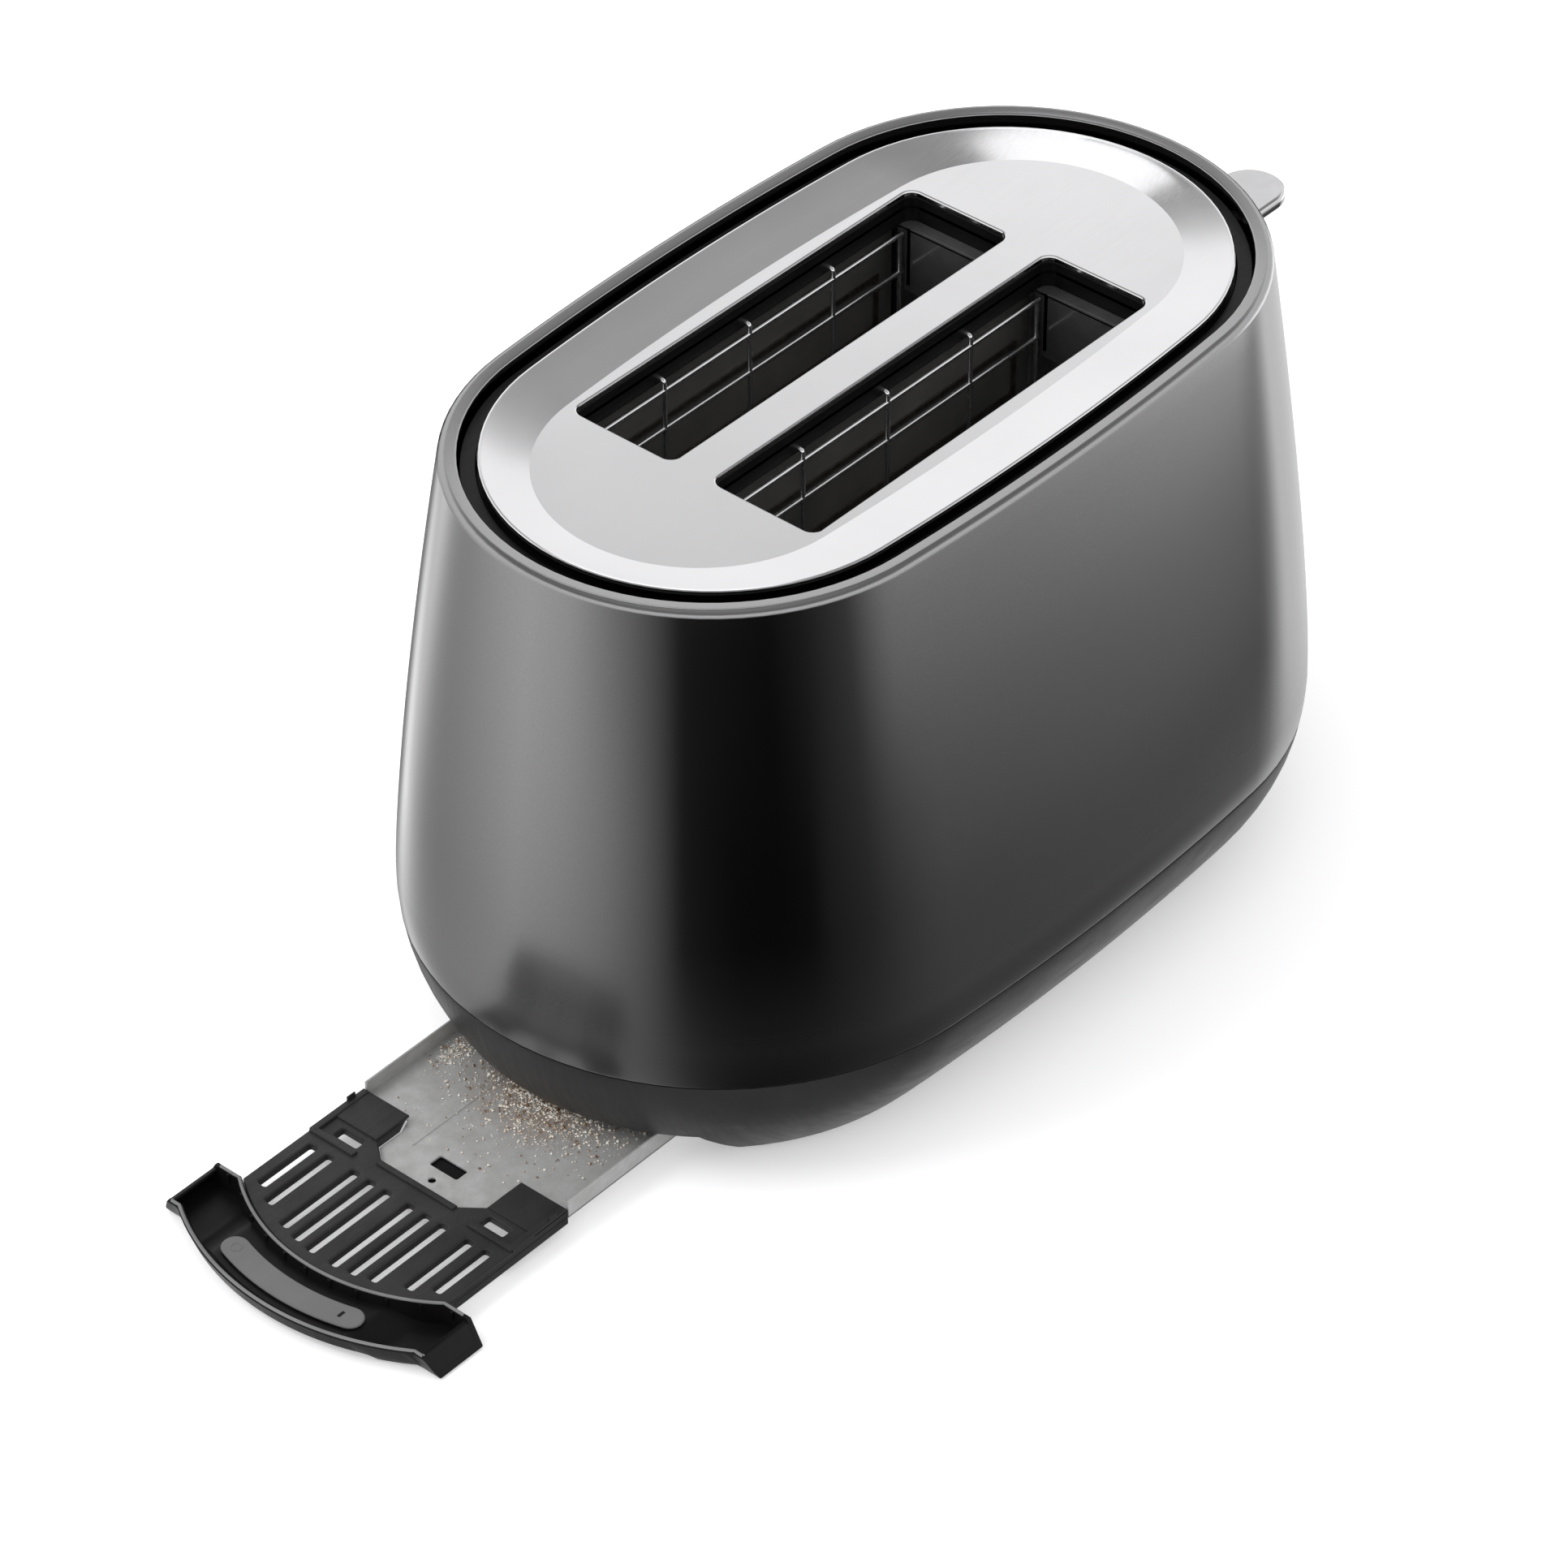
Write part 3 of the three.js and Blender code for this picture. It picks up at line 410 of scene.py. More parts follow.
class Nodes:
    """Small helper that adds and links the nodes of one material."""

    def __init__(self, name):
        self.material = bpy.data.materials.new(name)
        self.material.use_nodes = True
        self.tree = self.material.node_tree
        self.shader = self.tree.nodes["Principled BSDF"]
        self.coordinates = self.add("ShaderNodeTexCoord").outputs["Object"]

    def add(self, kind, **values):
        node = self.tree.nodes.new(kind)
        for key, value in values.items():
            if hasattr(node, key):
                setattr(node, key, value)
            else:
                node.inputs[key.replace("_", " ").title()].default_value = value
        return node

    def link(self, output, target):
        self.tree.links.new(output, target)

    def shade(self, sockets):
        """Feeds the shader's own sockets, each with a constant or an output."""
        for name, value in sockets.items():
            feed(self.tree, value, self.shader.inputs[name])
        return self.material

    def noise(self, scale, stretch=(1, 1, 1), detail=4, roughness=0.55):
        mapping = self.add("ShaderNodeMapping")
        mapping.inputs["Scale"].default_value = stretch
        self.link(self.coordinates, mapping.inputs["Vector"])
        noise = self.add("ShaderNodeTexNoise", scale=scale, detail=detail, roughness=roughness)
        self.link(mapping.outputs["Vector"], noise.inputs["Vector"])
        return noise.outputs["Fac"]

    def ramp(self, factor, stops):
        node = self.add("ShaderNodeValToRGB")
        fill_ramp(node, stops)
        self.link(factor, node.inputs["Fac"])
        return node.outputs["Color"]

    def spread(self, factor, low, high):
        """The usual range of a noise turned into another."""
        return self.remap(factor, 0.3, 0.7, (low, high))

    def height(self, low, high):
        """0 below one height of the object, in mm, rising to 1 at another."""
        split = self.add("ShaderNodeSeparateXYZ")
        self.link(self.coordinates, split.inputs[0])
        return self.remap(split.outputs["Z"], low * MM, high * MM)

    def remap(self, value, low, high, to=(0, 1)):
        node = self.add("ShaderNodeMapRange")
        for socket, number in zip(("From Min", "From Max", "To Min", "To Max"), (low, high, *to)):
            node.inputs[socket].default_value = number
        self.link(value, node.inputs["Value"])
        return node.outputs["Result"]

    def near(self, centre, core, edge):
        """1 within one distance of a point given in metres, falling to 0 at another."""
        node = self.add("ShaderNodeVectorMath", operation="DISTANCE")
        node.inputs[1].default_value = centre
        self.link(self.coordinates, node.inputs[0])
        return self.remap(node.outputs["Value"], edge, core)

    def mix(self, factor, first, second, kind="RGBA"):
        node = self.add("ShaderNodeMix", data_type=kind)
        sockets = (0, 6, 7) if kind == "RGBA" else (0, 2, 3)
        for socket, value in zip(sockets, (factor, first, second)):
            feed(self.tree, value, node.inputs[socket])
        return node.outputs[2 if kind == "RGBA" else 0]

    def bump(self, height, depth, strength=1.0, under=None):
        node = self.add("ShaderNodeBump")
        node.inputs["Strength"].default_value = strength
        node.inputs["Distance"].default_value = depth * MM
        self.link(height, node.inputs["Height"])
        if under is not None:
            self.link(under, node.inputs["Normal"])
        return node.outputs["Normal"]


def tone(level):
    """A grey with a trace of blue."""
    return (level, level, level * 1.015)


def metal(name, low, high, roughness, cloud=30, grain=None, depth=0.004):
    """Bare or painted metal: slow colour clouds over a fine, possibly brushed grain that also varies the
    gloss.
    """
    n = Nodes(name)
    clouds = n.noise(cloud)
    fine = n.noise(1, grain or (2600, 2600, 2600), detail=3)
    return n.shade({
        "Metallic": 1.0,
        "Base Color": n.ramp(clouds, [(0.3, low), (0.7, high)]),
        "Roughness": n.spread(fine, *roughness),
        "Normal": n.bump(fine, depth),
    })


def moulded(name, low, high, roughness, texture=1500, depth=0.02, coat=0.0, specular=0.5):
    """Moulded plastic or rubber: spark-eroded texture, slow sheen clouds and faint scuffs."""
    n = Nodes(name)
    clouds = n.noise(45)
    grain = n.noise(texture, detail=2)
    scuffs = n.noise(60, (1, 9, 1), detail=6, roughness=0.7)
    return n.shade({
        "Specular IOR Level": specular,
        "Coat Weight": coat,
        "Coat Roughness": 0.06,
        "Base Color": n.ramp(clouds, [(0.3, low), (0.72, high)]),
        "Roughness": n.spread(scuffs, *roughness),
        "Normal": n.bump(grain, depth),
    })


def shell_paint():
    """Graphite metallic lacquer, very smooth, with a trace of orange peel."""
    n = Nodes("graphite_lacquer")
    clouds = n.noise(14, detail=3)
    flakes = n.noise(5200, detail=1)
    peel = n.noise(420, detail=2)
    return n.shade({
        "Metallic": 1.0,
        "Coat Weight": 0.15,
        "Coat Roughness": 0.08,
        "Base Color": n.ramp(flakes, [(0.35, tone(0.29)), (0.65, tone(0.33))]),
        "Roughness": n.mix(n.height(*SHELL_DULL_Z), 0.29, n.spread(clouds, 0.145, 0.165), "FLOAT"),
        "Normal": n.bump(peel, 0.003, 0.6),
    })


def pan_steel():
    """Plain rolled steel with rolling lines and the dull mottling that crumbs and heat leave."""
    n = Nodes("pan_steel")
    mottle = n.noise(150, detail=8, roughness=0.7)
    rolled = n.noise(1, (60, 2400, 2400), detail=3)
    colours = [(0.25, (0.42, 0.41, 0.40)), (0.5, (0.50, 0.50, 0.495)), (0.72, (0.60, 0.60, 0.60))]
    dusty = n.add("ShaderNodeMath", operation="MULTIPLY")  # brown dust under the thickest crumbs
    n.link(n.near(place((-128, 0, PAN_FLOOR_Z)), 0.006, 0.027), dusty.inputs[0])
    n.link(n.remap(n.noise(420, detail=6), 0.36, 0.60), dusty.inputs[1])
    steel = n.ramp(mottle, colours)
    return n.shade({
        "Metallic": 0.35,
        "Base Color": n.mix(dusty.outputs[0], steel, (0.40, 0.27, 0.19, 1)),
        "Roughness": n.spread(mottle, 0.55, 0.42),
        "Normal": n.bump(rolled, 0.004, 1.0, n.bump(mottle, 0.01)),
    })


def crumb_bake():
    """Toasted bread: pale straw to burnt brown, changing from crumb to crumb."""
    n = Nodes("toasted_crumb")
    tones = [
        (0.31, (0.16, 0.10, 0.06)),
        (0.38, (0.42, 0.31, 0.22)),
        (0.46, (0.70, 0.62, 0.52)),
        (0.60, (0.88, 0.85, 0.79)),
    ]
    return n.shade({
        "Base Color": n.ramp(n.noise(520, detail=1), tones),
        "Roughness": 0.85,
        "Normal": n.bump(n.noise(3000), 0.08),
    })


LACQUER = shell_paint()
PAN_STEEL = pan_steel()
CRUMB = crumb_bake()
BASE_PLASTIC = moulded("base_plastic", tone(0.018), tone(0.026), (0.40, 0.52), coat=0.05, specular=0.4)
BRUSHED = metal("brushed_steel", tone(0.68), tone(0.72), (0.10, 0.15), 22, (30, 2600, 2600), 0.0012)
BLACK = moulded("black_plastic", tone(0.004), tone(0.007), (0.30, 0.42), texture=1300, specular=0.16)
GRILLE = moulded("grille_plastic", tone(0.014), tone(0.030), (0.42, 0.60), 700, 0.06, specular=0.4)
# grey for the handle's edges: a painted highlight where their rounded edges catch the light
RIM_HIGHLIGHT = moulded("painted_highlight_rim", tone(0.14), tone(0.21), (0.25, 0.35))
LEDGE = moulded("satin_ledge", tone(0.035), tone(0.075), (0.12, 0.24), coat=0.6)
TONGUE = metal("lever_steel", tone(0.50), tone(0.56), (0.06, 0.12), 60, (300, 300, 300), 0.0008)
GRIP = moulded("grip_plastic", tone(0.125), tone(0.150), (0.42, 0.55))
GLOSS = moulded("gloss_black", tone(0.006), tone(0.009), (0.05, 0.09), texture=300, depth=0.002, coat=0.6)
RUBBER = moulded("black_rubber", tone(0.018), tone(0.028), (0.70, 0.85), texture=900, depth=0.04)
PLATED = metal("plated_steel", tone(0.42), tone(0.52), (0.28, 0.42), 90, depth=0.006)
WIRE = metal("wire_steel", tone(0.78), tone(0.88), (0.16, 0.28), 200, (400, 400, 400), 0.003)
RIBBON = metal("heating_ribbon", (0.20, 0.17, 0.15), (0.32, 0.28, 0.25), (0.35, 0.5), 300)
BOARD = moulded("mica_board", (0.10, 0.098, 0.094), (0.16, 0.155, 0.148), (0.32, 0.52), texture=500)
CIRCUIT = moulded("circuit_green", (0.015, 0.07, 0.03), (0.02, 0.10, 0.045), (0.3, 0.45))


# ---------------------------------------------------------------- shell, base and top
def flat_loop(size, z):
    return [(x, y, z) for x, y in oval(size)]


def body_loop(z, depth):
    """Points round the body's oval at a height, at a depth below its surface."""
    return flat_loop(body_oval(z, depth), z)


def fascia_outline(grow):
    half = FASCIA["half"] + grow
    return rounded(-half, half, FASCIA["low"] - grow, FASCIA["high"] + grow, FASCIA["corner"])


def outer_shell():
    """Tapered steel shell with a rolled lip and a rolled lower edge."""
    corner, inner = 2.0, 0.7
    foot = SEAM_Z + GAP
    profile = [(foot, 0.5), (foot + 0.15, 0.12), (foot + 0.6, 0)]
    profile += [(z, 0) for z in (42, 46, 50, 56, 62, 70, 78, 88, 98, 108, 118, 128, 138, 148, 158, 168, 176)]
    for a in (math.radians(15 * k) for k in range(7)):
        profile.append((RIM_Z - corner * (1 - math.sin(a)), corner * (1 - math.cos(a))))
    for a in (math.radians(22.5 * k) for k in range(5)):
        z = RIM_Z - 0.3 - inner * (1 - math.cos(a))
        profile.append((z, LIP_WIDTH - inner * (1 - math.sin(a))))
    profile += [(RIM_Z - 4, LIP_WIDTH), (RIM_Z - 5.5, SHELL_WALL)]
    profile += [(z, SHELL_WALL) for z in (160, 130, 100, 70, 46)] + [(foot, SHELL_WALL)]
    shell = Solid().ring([body_loop(z, depth) for z, depth in profile]).object("outer_shell_skin")
    carve(shell, [prism_x(fascia_outline(GAP), *FASCIA_SPAN)])
    finish(shell, "toaster_body", LACQUER, ["outer_shell"])


def base_moulding():
    """Plastic base: a wall that tucks in to the floor, open for the tray and the cord."""
    wall = [(BASE_Z, 3.4), (BASE_Z, 1.6), (BASE_Z + 0.15, 0.8), (BASE_Z + 0.6, 0.2), (BASE_Z + 1.3, 0)]
    wall += [(z, 0) for z in (4.5, 7, 10, 13, 16, 20, 24, 28, 32, 35)]
    wall += [(SEAM_Z - 0.6, 0), (SEAM_Z - 0.15, 0.15), (SEAM_Z, 0.6)]
    wall += [(z, BASE_WALL) for z in (SEAM_Z, 20, 8)]
    obj = Solid().ring([body_loop(z, depth) for z, depth in wall]).object("base_wall")
    wide, narrow, low, high = TRAY_FOOT_HALF, TRAY_OPENING_HALF, 3, 12.5
    opening = [(-wide, -1), (wide, -1), (wide, low), (narrow, high), (-narrow, high), (-wide, low)]
    cord = Solid().turning([(60, CORD_HOLE), (100, CORD_HOLE)], "y", (CORD_X, CORD_Z))
    carve(obj, [prism_x(opening, -160, TRAY_OPENING_X), cord])
    finish(obj, "toaster_body", BASE_PLASTIC, ["base_moulding"])


def base_deck():
    """Vented deck inside the base, with the tray's runners and the screws' bosses."""
    holes = [rounded(x - 2, x + 2, -24, 24, 1.9) for x in (-40, -20, 0, 20, 40)]
    holes += [arc(x * BOSS[0], y * BOSS[1], 5.4, 0, 345, 23) for x in SIDES for y in SIDES]
    floor = [(max(x, TRAY_OPENING_X), y) for x, y in oval(grown(body_oval(BASE_Z), -3))]
    deck = Solid().plate([floor] + holes, BASE_Z + 0.1, BASE_Z + 1.4)
    for side in SIDES:
        deck.block((TRAY_OPENING_X + 2, 100), (38.2 * side, 41 * side), (BASE_Z + 1, 13.2))
        for x in SIDES:
            at = (x * BOSS[0], side * BOSS[1])
            ring = [(2, 5.2), (9.7, 5.2), (9.7, 1.9), (2, 1.9)]
            deck.ring([[axial("z", d, r, math.tau * k / 32, at) for k in range(32)] for d, r in ring])
    finish(deck.object("base_deck"), "toaster_body", BASE_PLASTIC)


def top_plate():
    """Dished steel plate: a rounded rim, a sloping border, a crease and a flat field with two slots."""
    under = PLATE_THICKNESS
    edge = [
        (FIELD, FIELD_Z - under),
        (grown(PLATE, -0.4), PLATE_EDGE_Z - under),
        (grown(PLATE, -0.05), PLATE_EDGE_Z - under + 0.2),
        (PLATE, PLATE_EDGE_Z - 0.7),
        (grown(PLATE, -0.1), PLATE_EDGE_Z - 0.28),
        (grown(PLATE, -0.35), PLATE_EDGE_Z - 0.06),
        (grown(PLATE, -0.8), PLATE_EDGE_Z),
        (grown(PLATE, -1.5), PLATE_EDGE_Z - 0.1),
    ]
    fall = FIELD_Z - PLATE_EDGE_Z
    border = [(between(PLATE, FIELD, t), PLATE_EDGE_Z + fall * t) for t in (0.3, 0.6, 0.93)]
    loops = [flat_loop(size, z) for size, z in edge + border + [(FIELD, FIELD_Z)]]
    stacks = [loops]
    for side in SIDES:
        hole = list(reversed(slot_outline(SLOT_Y * side)))
        rolled = [(0.0, FIELD_Z - under), (0.0, FIELD_Z - 0.5), (0.15, FIELD_Z - 0.15), (0.5, FIELD_Z)]
        stacks.append([[(x, y, z) for x, y in inset(hole, by)] for by, z in rolled])
    plate = Solid()
    plate.stack(stacks)
    finish(plate.object("top_plate_dish"), "toaster_body", BRUSHED, ["top_plate"], crease=8)


def top_frame():
    """Black moulding: the deep groove round the plate and the throats of the two slots."""
    shelf = FRAME_TOP_Z - 2.6
    rim = [
        (grown(MOUTH, -GAP), 175),
        (grown(MOUTH, -GAP), 180.2),
        (grown(MOUTH, -GAP - 0.3), 180.5),
        (grown(PLATE, GAP + 0.3), 180.5),
        (grown(PLATE, GAP), 180.2),
        (grown(PLATE, GAP), shelf),
        (grown(PLATE, -1.5), shelf),
        (grown(PLATE, -1.5), 175),
    ]
    made = Solid().ring([flat_loop(size, z) for size, z in rim])
    slots = [slot_outline(SLOT_Y * side) for side in SIDES]
    made.plate([oval(grown(PLATE, 1))] + slots, shelf - 1.6, shelf - 0.02)
    ledges = Solid()
    for side in SIDES:
        y = SLOT_Y * side
        half = SLOT_WIDTH / 2 + 1
        made.plate([slot_outline(y, 1.4), slot_outline(y)], THROAT_Z, FRAME_TOP_Z, 0.4, 3)
        for end in SIDES:
            across = (y - half, y + half)
            shelf_reach, wall_reach, rib_reach = ((LEDGE_X * end, (LEDGE_X + d) * end) for d in (5.2, 1.5, 3))
            ledges.block(shelf_reach, across, (THROAT_Z - 1.5, THROAT_Z + 0.2), 0.5)
            ledges.block(wall_reach, across, (150, THROAT_Z), 0.5)
            for k in SIDES:
                rib = y + k * (half - 4)
                ledges.block(rib_reach, (rib - 0.6, rib + 0.6), (152, THROAT_Z), 0.3)
    finish(made.object("slot_surround"), "toaster_body", BLACK, ["top_frame"])
    finish(ledges.object("slot_ledges"), "toaster_body", LEDGE)


def underside():
    """Feet and the cord's gland."""
    for i, (x, y) in enumerate(FEET):
        profile = [(0, 7.4), (0.15, 7.8), (0.5, 8), (0.9, 8), (1.2, 7.7), (1.2, 3), (5.5, 3), (5.5, 0.4)]
        foot = Solid().turning(profile, "z", (x, y)).object(f"foot_pad_{i + 1}")
        finish(foot, "toaster_body", RUBBER, [f"rubber_foot_{i + 1}"])
    ring = [(70, 3.6), (70, 6.5), (82.5, 6.5), (83.2, 6.2), (84.6, 5.4), (85, 4.9), (85, 4.1), (84.6, 3.6)]
    loops = [[axial("y", d, r, math.tau * k / 40, (CORD_X, CORD_Z)) for k in range(40)] for d, r in ring]
    gland = Solid().ring(loops).object("cord_gland_ring")
    finish(gland, "toaster_body", RUBBER, ["cord_gland"])


# ---------------------------------------------------------------- crumb tray
def handle_x(radius, y):
    """Where an arc of the handle crosses y; the rib's arcs turn straight beyond the tray's sides."""
    straight = HANDLE_REAR_X - max(0.0, radius - RIB_RADIUS + RIB_HALF_SHEET)
    return min(HANDLE_X - math.sqrt(radius**2 - y**2), straight)


def handle_half(z):
    """Half width of the handle at a height: its end walls flare towards the floor."""
    share = (z - HANDLE_FOOT_Z) / (HANDLE_TOP_Z - HANDLE_FOOT_Z)
    return HANDLE_FOOT_HALF + (HANDLE_TOP_HALF - HANDLE_FOOT_HALF) * share


def finger_lift(y):
    """How far the trough's floor rises at y to leave room underneath for fingertips."""
    return FINGER_LIFT * min(1.0, max(0.0, (FINGER_HALF - abs(y)) / FINGER_SLOPE))


def tray_handle():
    """Curved trough with an outer wall that leans in at its foot, a rib behind and walls at its ends."""
    steps = 64
    made = Solid()
    made.up = Vector((0, 1, 0))
    made.stack([trough_loops(steps)])
    for side in SIDES:
        made.up = Vector((-1, 0, 0))
        made.stack([handle_end(side)])
    for k in range(-5, 6):  # the rib's small strengthening ticks
        y = 8.2 * k
        x = handle_x(RIB_RADIUS - RIB_HALF_SHEET, y)
        made.block((x - 2.0, x - 0.4), (y - 0.5, y + 0.5), (6, 8.6), 0.2)
    finish(made.object("handle_trough"), "crumb_tray", BLACK, ["tray_handle"])
    # the rim beads are a painted highlight along the trough's edges
    finish(rim_beads(steps).object("handle_rims"), "crumb_tray", RIM_HIGHLIGHT)


def trough_loops(steps):
    """Sections through the trough, from one end to the other."""
    outer = [(78.6, 3.0), (HANDLE_RADIUS, 7.0), (79.8, 7.4), (79.5, 7.6)]
    outer += [(79.0, 7.6), (78.5, 7.4), (78.2, 7.0)]
    rib = [(62.6, 8.6), (62.4, 8.9), (61.6, 8.9), (61.2, 8.6)]
    floor_top = [(76.9, 2.4), (62.9, 2.4)]
    floor_under = [(61.2, 1.1), (61.5, 0.8), (77.0, 0.8), (77.6, 1.0)]
    profile = [(r, z, 0) for r, z in outer] + [(r, z, 1) for r, z in floor_top]
    profile += [(r, z, 0) for r, z in rib] + [(r, z, 1) for r, z in floor_under]
    loops = []
    for k in range(steps + 1):
        loop = []
        for r, z, lifted in profile:
            y = (2 * k / steps - 1) * handle_half(z)
            loop.append((handle_x(r, y), y, z + lifted * finger_lift(y)))
        loops.append(loop)
    return loops


def rim_beads(steps):
    """Grey beads along the edges of the outer wall, the rib and the two end walls: a painted highlight where
    they catch the light.
    """
    beads = Solid()
    crest, crest_z = HANDLE_RADIUS - 0.75, 7.5
    for r, z, reach in ((crest, crest_z, 46), (RIB_RADIUS, 8.85, 44.5)):
        ys = [reach * (2 * k / steps - 1) for k in range(steps + 1)]
        beads.tube([(handle_x(r, y), y, z) for y in ys], 0.5)
    for side in SIDES:
        y = 45.9 * side
        beads.tube([(handle_x(crest, y), y, crest_z), (HANDLE_REAR_X - 0.5, y, crest_z)], 0.45)
    return beads


def handle_end(side):
    """Loops of the sloping wall that closes one end of the trough."""
    outline = [(0.8, 0.05), (7.4, 0.05), (8.0, 0.6), (8.0, 1.2), (7.5, 1.7), (1.6, 1.7)]
    loops = []
    for share in (0, 0.25, 0.5, 0.75, 1):
        loop = []
        for z, inwards in outline:
            y = side * (handle_half(z) - inwards)
            front = handle_x(HANDLE_RADIUS - 1.2 - 0.2 * (8 - z), y)
            loop.append((HANDLE_REAR_X - 0.2 + share * (front - HANDLE_REAR_X + 0.2), y, z))
        loops.append(loop)
    return loops


def grip_pad():
    """Grey pill set in the trough, with a small round mark near one end and a notch near the other."""
    inner, outer, reach = 67, 75, 25
    middle, cap = (inner + outer) / 2, (outer - inner) / 2
    turn = math.degrees(math.asin((reach - cap) / middle))
    first_end, last_end = arc(HANDLE_X, 0, middle, 180 + turn, 180 - turn, 1)
    outline = arc(HANDLE_X, 0, outer, 180 - turn, 180 + turn, 24)
    outline += arc(*first_end, cap, 180 + turn, 360 + turn, 10)[1:-1]
    outline += arc(HANDLE_X, 0, inner, 180 + turn, 180 - turn, 24)
    outline += arc(*last_end, cap, -turn, 180 - turn, 10)[1:-1]
    pad = Solid().plate([outline], 6.1, 7.0, 0.5, 4)
    mark, (x, y) = ((HANDLE_X - math.sqrt(middle**2 - v**2), v) for v in (20.5, -18.5))
    pad.plate([arc(*mark, radius, 0, 345, 23) for radius in (1.8, 1.3)], 6.8, 7.1, 0.08)
    finish(pad.object("grip_pill"), "crumb_tray", GRIP, ["handle_grip_pad"])
    notch = Solid().block((x - 1.2, x + 1.2), (y - 0.5, y + 0.5), (6.8, 7.08), 0.1)
    finish(notch.object("grip_notch"), "crumb_tray", BLACK)


def grille_openings():
    """The grille's slots, whose front ends follow the handle's arc, and a window at each side."""
    holes = []
    for side in SIDES:
        holes.append(rounded(-183.2, -179.4, *sorted((22.7 * side, 31 * side)), 0.5, 2))
        for middle in GRILLE_SLOTS:
            front = HANDLE_X - math.sqrt((GRILLE_REACH - 3.5) ** 2 - (middle + 1.3) ** 2)
            y = middle * side
            holes.append(rounded(front, -189.6, y - 1.55, y + 1.55, 0.7, 3))
    return holes


def corner_housings():
    """Raised rails round the carrier's two rear corners."""
    w, rear = TRAY_HALF, CARRIER_REAR_X
    housings = Solid()
    for side in SIDES:
        rails = [
            ((rear, -177.6), (20.6 * side, w * side), (7.6, 8.6)),
            ((rear - 0.2, -186), ((w - 2.2) * side, w * side), (7.6, 8.9)),
            ((-186.6, -184.4), (21 * side, (w - 0.4) * side), (7.6, 8.8)),
        ]
        for x, y, z in rails:
            housings.block(x, y, z, 0.35)
        housings.block((-171.5, -168.5), ((w - 0.6) * side, (w - 0.1) * side), (4, 10.2), 0.1)
    return housings


def tray_frame():
    """Slatted black carrier in front of the pan, with raised housings at its two rear corners."""
    w, rear, reach = TRAY_HALF, CARRIER_REAR_X, GRILLE_REACH
    turn = math.degrees(math.asin(w / reach))
    outline = [(rear, w)] + arc(HANDLE_X, 0, reach, 180 - turn, 180 + turn, 36)
    outline += [(rear, -w), (rear, -22), (-169, -20), (-177.5, -20), (GRILLE_REAR_X, -14)]
    outline += [(GRILLE_REAR_X, 14), (-177.5, 20), (-169, 20), (rear, 22)]
    grille = Solid().plate([outline] + grille_openings(), 5.4, GRILLE_TOP_Z, 0.5, 3)
    skirt_turn = math.degrees(math.asin((w - 0.1) / reach))
    skirt = arc(HANDLE_X, 0, reach, 180 - skirt_turn, 180 + skirt_turn, 36)
    skirt += arc(HANDLE_X, 0, reach - 1.6, 180 + skirt_turn, 180 - skirt_turn, 36)
    grille.plate([skirt], GRILLE_FOOT_Z, 6.4, 0.3)
    for side in SIDES:
        grille.block((-208.5, rear), ((w - 1.6) * side, w * side), (GRILLE_FOOT_Z, 6.4), 0.3)
    grille.block((GRILLE_REAR_X - 2.2, GRILLE_REAR_X - 0.3), (-14, 14), (7.6, 8.7), 0.35)
    finish(grille.object("tray_grille"), "crumb_tray", GRILLE, ["tray_frame"])
    finish(corner_housings().object("tray_corner_housings"), "crumb_tray", GRILLE)


def crumb_pan():
    """Folded steel pan with upturned sides, a stamped bead, a latch hole and a small round hole."""
    w, rear = TRAY_HALF, -164.2
    outline = [(PAN_REAR_X, -w), (PAN_REAR_X, w), (rear, w), (rear, 21.6), (-168.8, 19.6), (-177.4, 19.6)]
    outline += [(-182, 13.8), (-182, -13.8), (-177.4, -19.6), (-168.8, -19.6), (rear, -21.6), (rear, -w)]
    holes = [rounded(-173.3, -168.7, -5, 5, 0.6, 2), arc(-177.6, 0, 1.1, 0, 345, 23)]
    floor, top = PAN_FLOOR_Z, PAN_FLOOR_Z + PAN_SHEET
    pan = Solid().plate([outline] + holes, floor, top, 0.2)
    for side in SIDES:
        pan.block((rear, PAN_REAR_X), ((w - PAN_SHEET) * side, w * side), (floor, 11), 0.35)
    pan.block((PAN_REAR_X - PAN_SHEET, PAN_REAR_X), (-w, w), (floor, 11), 0.35)
    pan.block((-171, -60), (13.2, 13.8), (top - 0.2, top + 0.3), 0.25)
    finish(pan.object("crumb_pan_sheet"), "crumb_tray", PAN_STEEL, ["crumb_pan"])
    latch = Solid().block((-181, -167), (-6.5, 6.5), (3.3, 4.9), 0.2)
    finish(latch.object("pan_latch_block"), "crumb_tray", BLACK)


def crumbs():
    """Toast crumbs lying on the pan: many fine grains, thickest next to the body."""
    rng = random.Random(11)
    made = Solid()
    top = PAN_FLOOR_Z + PAN_SHEET
    patches = [  # how many, middle x and y, spread in x and y, largest size
        (2300, -133, -3, 8.0, 12, 0.75),
        (700, -131.5, 1, 2.2, 6, 0.8),
        (320, -134, 31, 5, 2.4, 0.6),
        (260, -146, 0, 11, 16, 0.55),
    ]
    for count, mid_x, mid_y, spread_x, spread_y, largest in patches:
        for _ in range(count):
            x = min(-118, max(-166, rng.gauss(mid_x, spread_x)))
            y = max(-35, min(35, rng.gauss(mid_y, spread_y)))
            grain(made, rng, x, y, top, min(largest, 0.2 + rng.expovariate(5.5)))
    finish(made.object("toast_crumbs"), "crumb_tray", CRUMB, crease=20)


